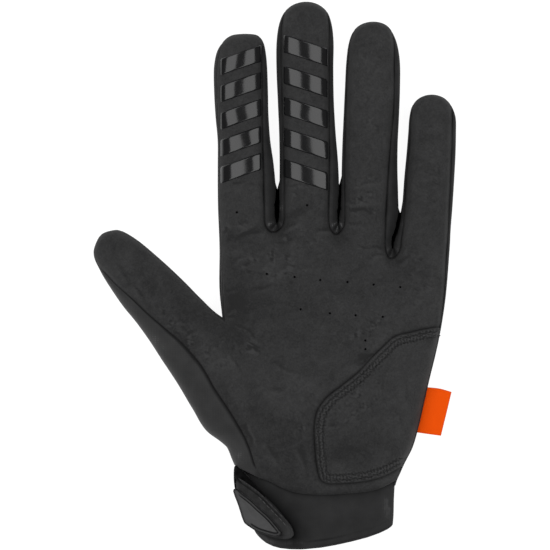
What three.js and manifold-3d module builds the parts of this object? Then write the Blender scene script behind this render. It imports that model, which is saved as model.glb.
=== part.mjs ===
// A left-hand full-finger riding glove, lying on its back with the palm up.
// Millimetres. +X is the little finger's side, +Y the fingertips, +Z the palm side. It rests on Z = 0.
import * as THREE from "three";
import { mergeVertices } from "three/addons/utils/BufferGeometryUtils.js";
import Module from "manifold-3d";

const wasm = await Module();
wasm.setup();

// Plan positions in the tables are photo pixels, x to the right and y down.
const MM_PER_PIXEL = 0.415;
const CENTRE_X = 274.6;
const CENTRE_Y = 275.25;

// Sheet thicknesses and the gap that the pieces keep from each other.
const WALL = 1.3;
const CUFF_WALL = 2.2;
const GAP = 0.3;
const PAD_THICKNESS = 1.2;
const STRAP_THICKNESS = 1.8;
const TAB_THICKNESS = 1.6;
const GRIP_THICKNESS = 0.6;
const TAG_THICKNESS = 1.0;
const TAG_HEIGHT = 12.4;

// How square the cross-sections are: 2 is an ellipse, more is squarer.
const DIGIT_SQUARENESS = 2.35;
const BODY_SQUARENESS = 2.6;
// Points round a cross-section: the outer faces are finer than the linings of the hollows.
const DIGIT_POINTS = 16;
const BODY_POINTS = 30;
const HOLLOW_DIGIT_POINTS = 10;
const HOLLOW_BODY_POINTS = 18;
const LINING_WIDENING = 1.7;
// Rows of a digit's table that make its round tip, and so move out with an offset.
const TIP_ROWS = 4;
// A fold fades in over these shares of the way from the middle height to the top.
const FOLD_STARTS = 0.1;
const FOLD_IS_FULL = 0.8;
// Points nearer than this are one.
const WELD = 1e-4;
// Farther than any point of the glove.
const BIG = 400;
// Plan limits outside the whole glove, in photo pixels.
const OUT_LEFT = 60;
const OUT_RIGHT = 520;
const OUT_TOP = -60;
const OUT_FOOT = 620;

// Sections of the index finger, tip first: ends in the plan, then the lowest and the highest Z.
const INDEX_SECTIONS = [
  // left x, left y, right x, right y, low, high
  [237, 34, 257, 34, 5.0, 11.5],
  [229, 36.5, 261, 36.5, 2.6, 13.4],
  [222.5, 42, 263.5, 42, 0.8, 15.0],
  [217.5, 51, 265.5, 51, -0.4, 16.0],
  [214, 64, 267, 64, -1, 16.6],
  [214, 90, 268, 90, -1, 16.8],
  [215.5, 118, 268.5, 118, -1, 16.4],
  [218, 165, 273, 165, -1, 17.6],
  [218.5, 215, 277, 215, -1, 19.4],
  [220, 250, 284, 250, -1, 20.6],
  [222, 285, 284, 285, -0.4, 18.0],
  [227, 328, 276, 328, 4.6, 14.0],
];
const MIDDLE_SECTIONS = [
  [299, 1.5, 314, 1.5, 5.0, 11.5],
  [291, 4.5, 321, 4.5, 2.6, 13.4],
  [285, 11, 327, 11, 0.8, 15.2],
  [279.5, 23, 331.5, 23, -0.4, 16.4],
  [276.5, 40, 334, 40, -1, 17.2],
  [276.5, 70, 333.5, 70, -1, 17.4],
  [278, 105, 334, 105, -1, 16.9],
  [279.5, 165, 338.5, 165, -1, 18.4],
  [278, 215, 339.5, 215, -1, 20.0],
  [276, 250, 342, 250, -1, 21.2],
  [278, 285, 340, 285, -1, 17.0],
];
const RING_SECTIONS = [
  [365, 22, 382, 22, 5.0, 11.5],
  [358, 25, 388, 25, 2.6, 13.4],
  [352.5, 33, 393, 33, 0.8, 15.0],
  [348.5, 45, 397.5, 45, -0.4, 16.2],
  [346, 62, 400, 62, -1, 16.8],
  [345, 90, 400, 90, -1, 17.0],
  [343.5, 118, 399, 118, -1, 16.6],
  [341.5, 170, 398, 170, -1, 18.0],
  [341, 220, 398, 220, -1, 19.8],
  [340, 255, 398, 255, -1, 20.8],
  [342, 288, 398, 288, -1, 17.0],
];
const LITTLE_SECTIONS = [
  [424.5, 95, 440, 95, 4.6, 10.6],
  [418, 98, 446, 98, 2.4, 12.2],
  [412.5, 106, 452, 106, 0.6, 13.6],
  [409.8, 117, 455.6, 117, -0.4, 14.6],
  [408.5, 133, 456, 133, -1, 15.2],
  [404.5, 178, 455, 178, -1, 15.8],
  [402, 225, 450.8, 225, -1, 18.0],
  [400, 254, 449.5, 254, -1, 19.4],
  [398, 290, 445, 290, -0.4, 16.6],
  [400, 330, 436, 330, 5.0, 13.0],
];
// Sections of the thumb and of the ball of the thumb, tip first: outer edge, then inner edge.
const THUMB_SECTIONS = [
  [96, 242, 109, 231, 6.0, 13.0],
  [93.2, 249, 120, 230, 3.4, 15.2],
  [94.5, 260, 131.5, 236.5, 1.4, 17.0],
  [100.5, 271, 144, 245.5, 0.0, 18.0],
  [109, 285.5, 157, 256.5, -0.8, 18.8],
  [121, 303, 172, 270, -1, 19.6],
  [135, 321, 187, 284.5, -1, 20.6],
  [149, 340, 202, 300, -1, 21.8],
  [164, 363, 217, 313.5, -1, 23.2],
  [178, 384, 246, 326, -1, 24.6],
  [192, 408, 274, 346, -1, 25.6],
  [206.5, 431, 290, 372, -1, 26.0],
  [224, 445, 300, 398, -0.6, 25.6],
  [233.5, 460, 306, 424, 0.8, 24.6],
];
// Sections of the palm, finger side first. The last column leans the section over,
// so that the palm side starts nearer the wrist than the back of the hand.
const BODY_SECTIONS = [
  [222, 211, 449, 219, -1, 19.4, -1.15],
  [221, 236, 450.5, 242, -1, 21.8, -0.9],
  [221, 268, 448, 272, -1, 23.6, -0.4],
  [221.5, 300, 445.5, 300, -1, 25.0, 0],
  [222, 326, 441.5, 326, -1, 25.8, 0],
  [223, 352, 436, 352, -1, 26.4, 0],
  [225, 378, 429.5, 378, -1, 27.0, 0],
  [228, 404, 423.5, 404, -1, 27.2, 0],
  [231, 428, 418, 428, -1, 27.0, 0],
  [233, 448, 412, 448, -0.6, 26.4, 0],
  [235, 464, 404.5, 464, 0.4, 25.6, 0],
  [236, 480, 398, 480, 1.6, 25.0, 0],
  [237, 500, 394, 500, 2.2, 24.6, 0],
  [238, 522, 392, 522, 2.2, 24.4, 0],
];
const CUFF_SECTIONS = [
  [241, 456, 402, 456, 2.6, 24.6, 0],
  [240.8, 484, 395.5, 484, 2.6, 24.4, 0],
  [244, 500, 394, 500, 2.6, 24.2, 0],
  [249.5, 520, 392.5, 520, 2.6, 24.0, 0],
  [255, 538, 390, 538, 2.6, 24.0, 0],
  [262, 562, 388, 562, 2.6, 24.0, 0],
];

// Dents and folds of the palm side: from, to, then the half-width and the depth in mm.
const FOLDS = [
  // x1, y1, x2, y2, half-width, depth
  [223, 319, 256, 337, 3.2, 1.7],
  [268, 350, 296, 462, 9.0, 1.9],
  [292, 268, 388, 276, 6.0, 0.9],
  [330, 300, 420, 318, 9.0, 0.8],
  [356, 372, 380, 350, 3.4, 0.9],
  [152, 294, 172, 318, 4.0, 0.7],
];

// Slots between the fingers: middle x, half-width, the end nearest the fingertips,
// then where the floor meets the back and the palm side.
const SLOTS = [
  // x, half-width, upper y, y on the back, y on the palm side
  [277.3, 2.0, 156, 180, 228],
  [340.3, 1.8, 156, 180, 230],
  [400.2, 2.0, 176, 212, 254],
];
// The height at which a slot's floor has come to the palm side.
const SLOT_FLOOR_TOP = 24;

// Seams in the plan.
const THUMB_SEAM = [
  [70, 252],
  [98, 268],
  [107, 274],
  [118, 287],
  [132, 298],
  [144, 310],
  [169, 331],
  [184, 344],
  [199, 361],
  [210, 380],
  [233, 414],
  [246, 438],
  [254, 461],
  [259, 475],
];
const CUFF_SEAM = [
  [215, 461],
  [236, 465],
  [259, 475],
  [282, 486],
  [301, 493],
  [328, 496],
  [363, 493],
  [387, 487],
  [420, 478],
];
const CUFF_MOUTH = [
  [392.5, 527],
  [380, 533],
  [360, 540],
  [340, 545],
  [305, 549],
  [275, 547],
  [264, 541.5],
  [255, 534],
  [248, 526],
  [215, 515],
];
// The thumb seam ends on this point of the cuff seam.
const SEAMS_MEET = 2;
// Where the strips of the thumb and the index finger end, between the two.
const CROTCH_CUT = [
  [240, 362],
  [222, 318],
  [206, 279],
];
// The fingertips, where two side strips meet, and how far the cut between them runs out and in.
const FINGERTIPS = [
  [246, 33],
  [306.5, 1],
  [373.5, 21],
  [432, 94],
];
const TIP_CUT_OUT = 20;
const TIP_CUT_IN = 30;
// Heights of the two seams that run round the hand, against the plan's y.
const UPPER_SEAM = [
  [-60, 12.4],
  [100, 12.4],
  [230, 14.2],
  [330, 16.0],
  [430, 16.4],
  [620, 15.4],
];
const LOWER_SEAM = [
  [-60, 4.2],
  [230, 4.6],
  [400, 6.0],
  [620, 7.0],
];

// Regions of the side strips: round the thumb's inner side, the index finger's outer side and the
// little finger's outer side, and the limits of the three between the fingers.
const THUMB_STRIP = [...CROTCH_CUT, [206, 200], [60, 200], [60, 262], [98, 268], [140, 290]];
const INDEX_STRIP = [...CROTCH_CUT, [206, 20], [246, 10], [246, 300]];
const LITTLE_STRIP = [[432, 60], [520, 60], [520, 520], [330, 520], [330, 470], [432, 300]];
const BETWEEN_TOP = -20;
const BETWEEN_FOOT = 285;

// Outlines of the pieces that lie on the palm side, and the heights above which they lie.
const HEEL_PAD = [
  [448, 322],
  [437, 327],
  [415, 331],
  [396, 335],
  [388, 342],
  [379, 351],
  [372, 358],
  [357, 372],
  [340, 385],
  [323, 400],
  [315.5, 413],
  [314, 423],
  [315.5, 446],
  [319, 473],
  [323, 481],
  [330, 485],
  [352, 485],
  [369, 482],
  [387, 475],
  [404, 466],
  [425, 430],
];
const STRAP_FRONT = [
  [222, 452],
  [234, 464],
  [250, 481],
  [265, 496],
  [276, 508],
  [285, 518],
  [292, 527],
  [294, 534],
  [290, 539],
  [281, 539],
  [264, 535],
  [250, 531],
  [240, 524],
  [222, 500],
];
const STRAP_BACK = [
  [222, 478],
  [262, 490],
  [300, 503],
  [334, 506],
  [334, 530],
  [300, 532],
  [222, 516],
];
const PULL_TAB = [
  [222, 490],
  [236, 492],
  [250, 501],
  [265, 514],
  [275, 526],
  [280, 532],
  [277, 534],
  [264, 532],
  [250, 529],
  [240, 520],
  [222, 512],
];
const SIDE_TAG = [
  [429.6, 387.6],
  [440, 388.6],
  [451.6, 391.8],
  [440.8, 435.6],
  [420.4, 432.8],
];
const PAD_ABOVE = 10;
const WRIST_MIDDLE = 12;
const BARS_ABOVE = 13;
// Grip bars on a finger: the y of the first bar, the step, the bar's height, the slant and the count.
const INDEX_BARS = { left: 219, right: 262, first: 52, step: 27, height: 17, slant: 7, count: 5 };
const MIDDLE_BARS = { left: 283, right: 328, first: 42, step: 31, height: 18, slant: -7, count: 5 };

const SUEDE = { color: 0x333334, roughness: 0.95, metalness: 0 };
const KNIT = { color: 0x2e2e30, roughness: 0.6, metalness: 0 };
const SIDE_KNIT = { color: 0x29292b, roughness: 0.75, metalness: 0 };
const NEOPRENE = { color: 0x2c2c2e, roughness: 0.85, metalness: 0 };
const STRAP_CLOTH = { color: 0x262628, roughness: 0.9, metalness: 0 };
const RUBBER = { color: 0x454547, roughness: 0.55, metalness: 0 };
const SILICONE = { color: 0x1c1c1e, roughness: 0.2, metalness: 0 };
const TAG_WEAVE = { color: 0xe45008, roughness: 0.7, metalness: 0 };

/** The plan point of a photo pixel. */
function plan(x, y) {
  return new THREE.Vector2((x - CENTRE_X) * MM_PER_PIXEL, (CENTRE_Y - y) * MM_PER_PIXEL);
}

/** A geometry as a solid. */
function solid(geometry) {
  const bare = geometry.clone();
  bare.deleteAttribute("normal");
  bare.deleteAttribute("uv");
  const merged = mergeVertices(bare, WELD);
  return new wasm.Manifold(
    new wasm.Mesh({
      numProp: 3,
      vertProperties: new Float32Array(merged.attributes.position.array),
      triVerts: new Uint32Array(merged.index.array),
    }),
  );
}

/** A solid as a named mesh. */
function mesh(name, body, look) {
  const data = body.getMesh();
  const geometry = new THREE.BufferGeometry();
  geometry.setAttribute("position", new THREE.BufferAttribute(new Float32Array(data.vertProperties), 3));
  geometry.setIndex(new THREE.BufferAttribute(new Uint32Array(data.triVerts), 1));
  const made = new THREE.Mesh(geometry, new THREE.MeshStandardMaterial(look));
  made.name = name;
  return made;
}

/** How far the folds press the palm side in at a plan point. The lining bridges narrow folds more widely. */
function foldDepth(point, widen) {
  let depth = 0;
  for (const [x1, y1, x2, y2, halfWidth, deepest] of FOLDS) {
    const line = new THREE.Line3(
      new THREE.Vector3(...plan(x1, y1).toArray(), 0),
      new THREE.Vector3(...plan(x2, y2).toArray(), 0),
    );
    const flat = new THREE.Vector3(point.x, point.y, 0);
    const nearest = line.closestPointToPoint(flat, true, new THREE.Vector3());
    const away = nearest.distanceTo(flat) / (halfWidth * widen);
    depth += deepest * Math.exp(-away * away);
  }
  return depth;
}

/** The points of one cross-section, grown by an offset and moved along by a share of it. */
function sectionPoints(row, offset, share, squareness, count) {
  const [leftX, leftY, rightX, rightY, low, high, lean = 0] = row;
  const left = plan(leftX, leftY);
  const right = plan(rightX, rightY);
  const across = right.clone().sub(left).normalize();
  const along = new THREE.Vector2(-across.y, across.x);
  const centre = left.clone().add(right).multiplyScalar(0.5).addScaledVector(along, offset * share);
  const halfWidth = left.distanceTo(right) / 2 + offset;
  const halfHeight = (high - low) / 2 + offset;
  const points = [];
  for (let k = 0; k < count; k += 1) {
    const angle = (2 * Math.PI * k) / count;
    const c = Math.cos(angle);
    const s = Math.sin(angle);
    const sideways = halfWidth * Math.sign(c) * Math.abs(c) ** (2 / squareness);
    const upwards = halfHeight * Math.sign(s) * Math.abs(s) ** (2 / squareness);
    const place = centre.clone().addScaledVector(across, sideways).addScaledVector(along, lean * upwards);
    const fade = THREE.MathUtils.smoothstep(s, FOLD_STARTS, FOLD_IS_FULL);
    const dent = foldDepth(place, offset < 0 ? LINING_WIDENING : 1) * fade;
    points.push(new THREE.Vector3(place.x, place.y, (low + high) / 2 + upwards - dent));
  }
  return points;
}

/** A closed solid through a table of cross-sections. Both ends move out or in with the offset. */
function loft(rows, offset, squareness, count) {
  const positions = [];
  const index = [];
  rows.forEach((row, i) => {
    const share = i === rows.length - 1 ? -1 : i < TIP_ROWS ? 1 : 0;
    const ring = sectionPoints(row, offset, share, squareness, count);
    for (const point of ring) positions.push(...point.toArray());
  });
  for (let i = 0; i + 1 < rows.length; i += 1) {
    for (let k = 0; k < count; k += 1) {
      const next = (k + 1) % count;
      const a = i * count + k;
      const b = i * count + next;
      index.push(a, b, b + count, a, b + count, a + count);
    }
  }
  const last = (rows.length - 1) * count;
  for (let k = 1; k + 1 < count; k += 1) {
    index.push(0, k + 1, k);
    index.push(last, last + k, last + k + 1);
  }
  const geometry = new THREE.BufferGeometry();
  geometry.setAttribute("position", new THREE.Float32BufferAttribute(positions, 3));
  geometry.setIndex(index);
  return solid(geometry);
}

/** An upright prism on a plan outline. */
function prism(outline, low = -BIG, high = BIG) {
  const shape = new THREE.Shape(outline.map(([x, y]) => plan(x, y)));
  const geometry = new THREE.ExtrudeGeometry(shape, { depth: high - low, bevelEnabled: false });
  geometry.translate(0, 0, low);
  return solid(geometry);
}

/** A thin upright band along a plan line, one gap wide. */
function band(line) {
  const points = line.map(([x, y]) => plan(x, y));
  const leftSide = [];
  const rightSide = [];
  points.forEach((point, i) => {
    const before = points[Math.max(i - 1, 0)];
    const after = points[Math.min(i + 1, points.length - 1)];
    const along = after.clone().sub(before).normalize();
    const side = new THREE.Vector2(-along.y, along.x).multiplyScalar(GAP / 2);
    leftSide.push(point.clone().add(side));
    rightSide.unshift(point.clone().sub(side));
  });
  const shape = new THREE.Shape([...leftSide, ...rightSide]);
  const geometry = new THREE.ExtrudeGeometry(shape, { depth: 2 * BIG, bevelEnabled: false });
  geometry.translate(0, 0, -BIG);
  return solid(geometry);
}

/** A side view, given by Y and Z, drawn out across the hand from an X by a width. */
function acrossHand(outline, startX, width) {
  const shape = new THREE.Shape(outline.map(([y, z]) => new THREE.Vector2(y, z)));
  const geometry = new THREE.ExtrudeGeometry(shape, { depth: width, bevelEnabled: false });
  geometry.translate(0, 0, startX);
  // The shape's own axes become Y and Z, and the extrusion runs along X.
  geometry.applyMatrix4(new THREE.Matrix4().set(0, 0, 1, 0, 1, 0, 0, 0, 0, 1, 0, 0, 0, 0, 0, 1));
  return solid(geometry);
}

/** The space between two seam heights that change along the hand. */
function layer(lowLine, highLine) {
  const below = lowLine.map(([y, z]) => [plan(0, y).y, z + GAP / 2]);
  const above = highLine.map(([y, z]) => [plan(0, y).y, z - GAP / 2]);
  return acrossHand([...below, ...above.reverse()], -BIG, 2 * BIG);
}

/** A slot between two fingers, with a floor that slopes from the back to the palm side. */
function slot([x, halfWidth, upperY, backY, palmY], grow) {
  const grown = halfWidth * MM_PER_PIXEL + grow;
  const upper = plan(0, upperY).y;
  const back = plan(0, backY).y - grow;
  const front = plan(0, palmY).y - grow;
  const outline = [
    [upper, -BIG],
    [back, -BIG],
    [back, 0],
    [front, SLOT_FLOOR_TOP],
    [front, BIG],
    [upper, BIG],
  ];
  return acrossHand(outline, plan(x, 0).x - grown, 2 * grown);
}

/** Everything above a height. */
function above(height) {
  const geometry = new THREE.BoxGeometry(2 * BIG, 2 * BIG, BIG);
  geometry.translate(0, 0, height + BIG / 2);
  return solid(geometry);
}

/** The rows that a hollow needs: all of them round the tip, then every second one. */
function hollowRows(rows) {
  return rows.filter((row, i) => i < TIP_ROWS || i % 2 === 0 || i === rows.length - 1);
}

/** The closed form of the hand, grown by an offset and flat where it rests. */
function handForm(offset) {
  const hollow = offset < 0;
  const bodyPoints = hollow ? HOLLOW_BODY_POINTS : BODY_POINTS;
  const digitPoints = hollow ? HOLLOW_DIGIT_POINTS : DIGIT_POINTS;
  const pick = (rows) => (hollow ? hollowRows(rows) : rows);
  let form = loft(pick(BODY_SECTIONS), offset, BODY_SQUARENESS, bodyPoints);
  const digits = [INDEX_SECTIONS, MIDDLE_SECTIONS, RING_SECTIONS, LITTLE_SECTIONS, THUMB_SECTIONS];
  for (const rows of digits) form = form.add(loft(pick(rows), offset, DIGIT_SQUARENESS, digitPoints));
  if (offset <= 0) {
    for (const row of SLOTS) form = form.subtract(slot(row, -offset));
  }
  return form.intersect(above(Math.max(-offset, 0)));
}

/** The closed form of the cuff, grown by an offset. */
function cuffForm(offset) {
  return loft(CUFF_SECTIONS, offset, BODY_SQUARENESS, offset < 0 ? HOLLOW_BODY_POINTS : BODY_POINTS);
}

/** A sheet that follows a form between two offsets, inside a plan outline. */
function overlay(form, outline, near, far, low, high) {
  return form(far).subtract(form(near)).intersect(prism(outline, low, high));
}

/** The part of the side strips inside a plan outline, as a named piece. */
function sideStrip(name, strips, outline) {
  return mesh(name, strips.intersect(prism(outline)), SIDE_KNIT);
}

/** The strip between two fingers, from one fingertip to the next. */
function fourchette(name, strips, [fromX], [toX]) {
  const outline = [
    [fromX, BETWEEN_TOP],
    [toX, BETWEEN_TOP],
    [toX, BETWEEN_FOOT],
    [fromX, BETWEEN_FOOT],
  ];
  return sideStrip(name, strips, outline);
}

/** The slanted grip bars of one finger. */
function gripBars(name, rows, bars) {
  const near = loft(rows, GAP, DIGIT_SQUARENESS, DIGIT_POINTS);
  const skin = loft(rows, GAP + GRIP_THICKNESS, DIGIT_SQUARENESS, DIGIT_POINTS).subtract(near);
  const made = [];
  for (let k = 0; k < bars.count; k += 1) {
    const y = bars.first + k * bars.step;
    const outline = [
      [bars.left, y + bars.slant],
      [bars.right, y - bars.slant],
      [bars.right, y - bars.slant + bars.height],
      [bars.left, y + bars.slant + bars.height],
    ];
    const bar = skin.intersect(prism(outline, BARS_ABOVE, BIG));
    made.push(mesh(`${name}_${k + 1}`, bar, SILICONE));
  }
  return made;
}

// The hollow hand, cut along the cuff seam and then along the thumb seam.
const handShell = handForm(0).subtract(handForm(-WALL)).subtract(band(CUFF_SEAM));
const seamed = handShell.subtract(band(THUMB_SEAM));

// Layers above, between and below the two seams that run round the hand.
const farAbove = [[OUT_TOP, BIG], [OUT_FOOT, BIG]];
const farBelow = [[OUT_TOP, -BIG], [OUT_FOOT, -BIG]];
const upperLayer = layer(UPPER_SEAM, farAbove);
const sideLayer = layer(LOWER_SEAM, UPPER_SEAM);
const lowerLayer = layer(farBelow, LOWER_SEAM);
const overLowerLayer = layer(LOWER_SEAM, farAbove);

// Plan regions on either side of the seams.
const [seamStartX, seamStartY] = CUFF_SEAM[0];
const [seamEndX, seamEndY] = CUFF_SEAM[CUFF_SEAM.length - 1];
const seamToLeft = CUFF_SEAM.slice(0, SEAMS_MEET).reverse();
const seamToRight = CUFF_SEAM.slice(SEAMS_MEET + 1);
const rightCorners = [[OUT_RIGHT, seamEndY], [OUT_RIGHT, OUT_TOP]];
const handRegion = prism([[OUT_LEFT, seamStartY], ...CUFF_SEAM, ...rightCorners, [OUT_LEFT, OUT_TOP]]);
const palmRegion = prism([...THUMB_SEAM, ...seamToRight, ...rightCorners, [THUMB_SEAM[0][0], OUT_TOP]]);
const thumbRegion = prism([...THUMB_SEAM, ...seamToLeft, [THUMB_SEAM[0][0], seamStartY]]);
const wristRegion = prism([...CUFF_SEAM, [seamEndX, OUT_FOOT], [seamStartX, OUT_FOOT]]);
const cuffRegion = prism([...CUFF_SEAM, ...CUFF_MOUTH]);

const group = new THREE.Group();
group.name = "riding_glove";

// The palm, the back and the thumb's outer panel.
const palm = seamed.intersect(palmRegion).intersect(upperLayer);
const back = handShell.intersect(handRegion).intersect(lowerLayer);
const thumbOuter = seamed.intersect(thumbRegion).intersect(overLowerLayer);
group.add(mesh("palm_panel", palm, SUEDE));
group.add(mesh("back_panel", back, KNIT));
group.add(mesh("thumb_outer_panel", thumbOuter, KNIT));

// The side strips, which end at the fingertips and at the crotch of the thumb.
let sides = seamed.intersect(palmRegion).intersect(sideLayer).subtract(band(CROTCH_CUT));
for (const [x, y] of FINGERTIPS) {
  sides = sides.subtract(band([[x, y - TIP_CUT_OUT], [x, y + TIP_CUT_IN]]));
}
const [indexTip, middleTip, ringTip, littleTip] = FINGERTIPS;
group.add(sideStrip("thumb_inner_side", sides, THUMB_STRIP));
group.add(sideStrip("index_outer_side", sides, INDEX_STRIP));
group.add(fourchette("fourchette_index_middle", sides, indexTip, middleTip));
group.add(fourchette("fourchette_middle_ring", sides, middleTip, ringTip));
group.add(fourchette("fourchette_ring_little", sides, ringTip, littleTip));
group.add(sideStrip("little_outer_side", sides, LITTLE_STRIP));

// The pad on the heel of the palm, above the side seam.
const pad = overlay(handForm, HEEL_PAD, GAP, GAP + PAD_THICKNESS, PAD_ABOVE, BIG).intersect(upperLayer);
group.add(mesh("palm_heel_pad", pad, SUEDE));

// The cuff and the strap round it: one run on the palm side, one on the back.
const cuffShell = cuffForm(0).subtract(cuffForm(-CUFF_WALL)).subtract(band(CUFF_SEAM));
group.add(mesh("cuff", cuffShell.intersect(cuffRegion), NEOPRENE));
const strapFar = GAP + STRAP_THICKNESS;
const strapFront = overlay(cuffForm, STRAP_FRONT, GAP, strapFar, WRIST_MIDDLE, BIG);
const strapBack = overlay(cuffForm, STRAP_BACK, GAP, strapFar, -BIG, WRIST_MIDDLE);
const strap = strapFront.add(strapBack).subtract(band(CUFF_SEAM)).intersect(wristRegion);
group.add(mesh("closure_strap", strap, STRAP_CLOTH));
const tabNear = strapFar + GAP;
const tab = overlay(cuffForm, PULL_TAB, tabNear, tabNear + TAB_THICKNESS, WRIST_MIDDLE, BIG);
group.add(mesh("strap_pull_tab", tab, RUBBER));

// The tag in the side seam and the bars on the fingertips.
group.add(mesh("side_tag", prism(SIDE_TAG, TAG_HEIGHT, TAG_HEIGHT + TAG_THICKNESS), TAG_WEAVE));
group.add(...gripBars("grip_index", INDEX_SECTIONS, INDEX_BARS));
group.add(...gripBars("grip_middle", MIDDLE_SECTIONS, MIDDLE_BARS));

export default group;
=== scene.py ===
import math
from functools import partial

import bmesh
import bpy
import numpy as np
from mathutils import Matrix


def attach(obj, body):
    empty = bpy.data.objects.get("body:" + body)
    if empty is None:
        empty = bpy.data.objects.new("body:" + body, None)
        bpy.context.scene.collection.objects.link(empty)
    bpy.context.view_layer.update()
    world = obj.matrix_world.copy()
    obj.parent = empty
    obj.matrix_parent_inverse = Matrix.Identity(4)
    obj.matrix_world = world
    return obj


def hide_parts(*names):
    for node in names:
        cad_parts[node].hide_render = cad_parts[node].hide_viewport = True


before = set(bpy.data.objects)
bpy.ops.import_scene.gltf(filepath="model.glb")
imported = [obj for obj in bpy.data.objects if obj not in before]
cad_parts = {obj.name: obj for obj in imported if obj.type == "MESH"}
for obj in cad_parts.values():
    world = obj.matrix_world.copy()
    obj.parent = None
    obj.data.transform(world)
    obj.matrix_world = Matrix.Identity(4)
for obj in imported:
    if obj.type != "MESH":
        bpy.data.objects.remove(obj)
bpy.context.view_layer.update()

# THE STUDIO
# A pale back-lit floor, two wide soft lamps overhead with a gap between them for the camera, and a
# camera that looks straight down on the palm.
PICTURE_SPAN = 0.22825  # metres across the picture at the palm's height
PALM_HEIGHT = 0.012
CAMERA_RISE = 1.6  # metres above it
SENSOR = 36.0
CAMERA_PLACE = (0.00017, 0.0001)
FLOOR_SIZE = 30.0
FLOOR_SHADE = 0.2
FLOOR_GLOW = 0.92
LAMPS = (
    # place, width, length, power
    ((-1.14, 0.1, 1.9), 1.7, 3.0, 39.0),
    ((1.14, 0.1, 1.9), 1.7, 3.0, 39.0),
)
SKY_SHADE = 0.12

lens = bpy.data.cameras.new("camera")
lens.sensor_width = SENSOR
lens.lens = SENSOR * CAMERA_RISE / PICTURE_SPAN
lens.clip_end = 100.0
camera = bpy.data.objects.new("camera", lens)
camera.location = (*CAMERA_PLACE, PALM_HEIGHT + CAMERA_RISE)
bpy.context.scene.collection.objects.link(camera)
bpy.context.scene.camera = camera
bpy.context.scene.view_settings.view_transform = "Standard"
for number, (place, width, length, power) in enumerate(LAMPS):
    lamp = bpy.data.lights.new(f"lamp_{number}", "AREA")
    lamp.shape = "RECTANGLE"
    lamp.size, lamp.size_y = width, length
    lamp.energy = power
    light = bpy.data.objects.new(f"lamp_{number}", lamp)
    light.location = place
    bpy.context.scene.collection.objects.link(light)
world = bpy.data.worlds.new("studio")
bpy.context.scene.world = world
world.use_nodes = True
world.node_tree.nodes["Background"].inputs["Color"].default_value = (SKY_SHADE, SKY_SHADE, SKY_SHADE, 1.0)

bpy.ops.mesh.primitive_plane_add(size=FLOOR_SIZE)
floor = bpy.context.object
floor.name = "floor"
paper = bpy.data.materials.new("floor_paper")
paper.use_nodes = True
paper_inputs = paper.node_tree.nodes["Principled BSDF"].inputs
paper_inputs["Base Color"].default_value = (FLOOR_SHADE, FLOOR_SHADE, FLOOR_SHADE, 1.0)
paper_inputs["Roughness"].default_value = 0.9
paper_inputs["Emission Color"].default_value = (1.0, 1.0, 1.0, 1.0)
paper_inputs["Emission Strength"].default_value = FLOOR_GLOW
floor.data.materials.append(paper)

# THE PALM PANEL
# One piece of perforated microfibre suede that covers the palm, the ball of the thumb and the
# inner faces of all five digits. Its edges are turned in and sewn to the side strips.
# Plan places are in photo pixels, x to the right and y down, and heights in millimetres.
PIXEL = 0.000415  # metres
MM_PER_PIXEL = 0.415
MM = 0.001  # metres
CENTRE = (274.6, 275.25)  # the plan place of the glove's origin
DIGIT_SQUARENESS = 2.35  # the powers of the superellipses across the digits and the palm
PALM_SQUARENESS = 2.6
FALL = 3.0  # mm down for each mm outside a superellipse
NO_FORM = -9.0  # mm, below everything, where a digit or the palm has ended
SOFTNESS = 0.9  # mm over which the forms of the digits and the palm run into each other
SAME = 1e-6  # below this, two places or two shares are the same

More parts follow.
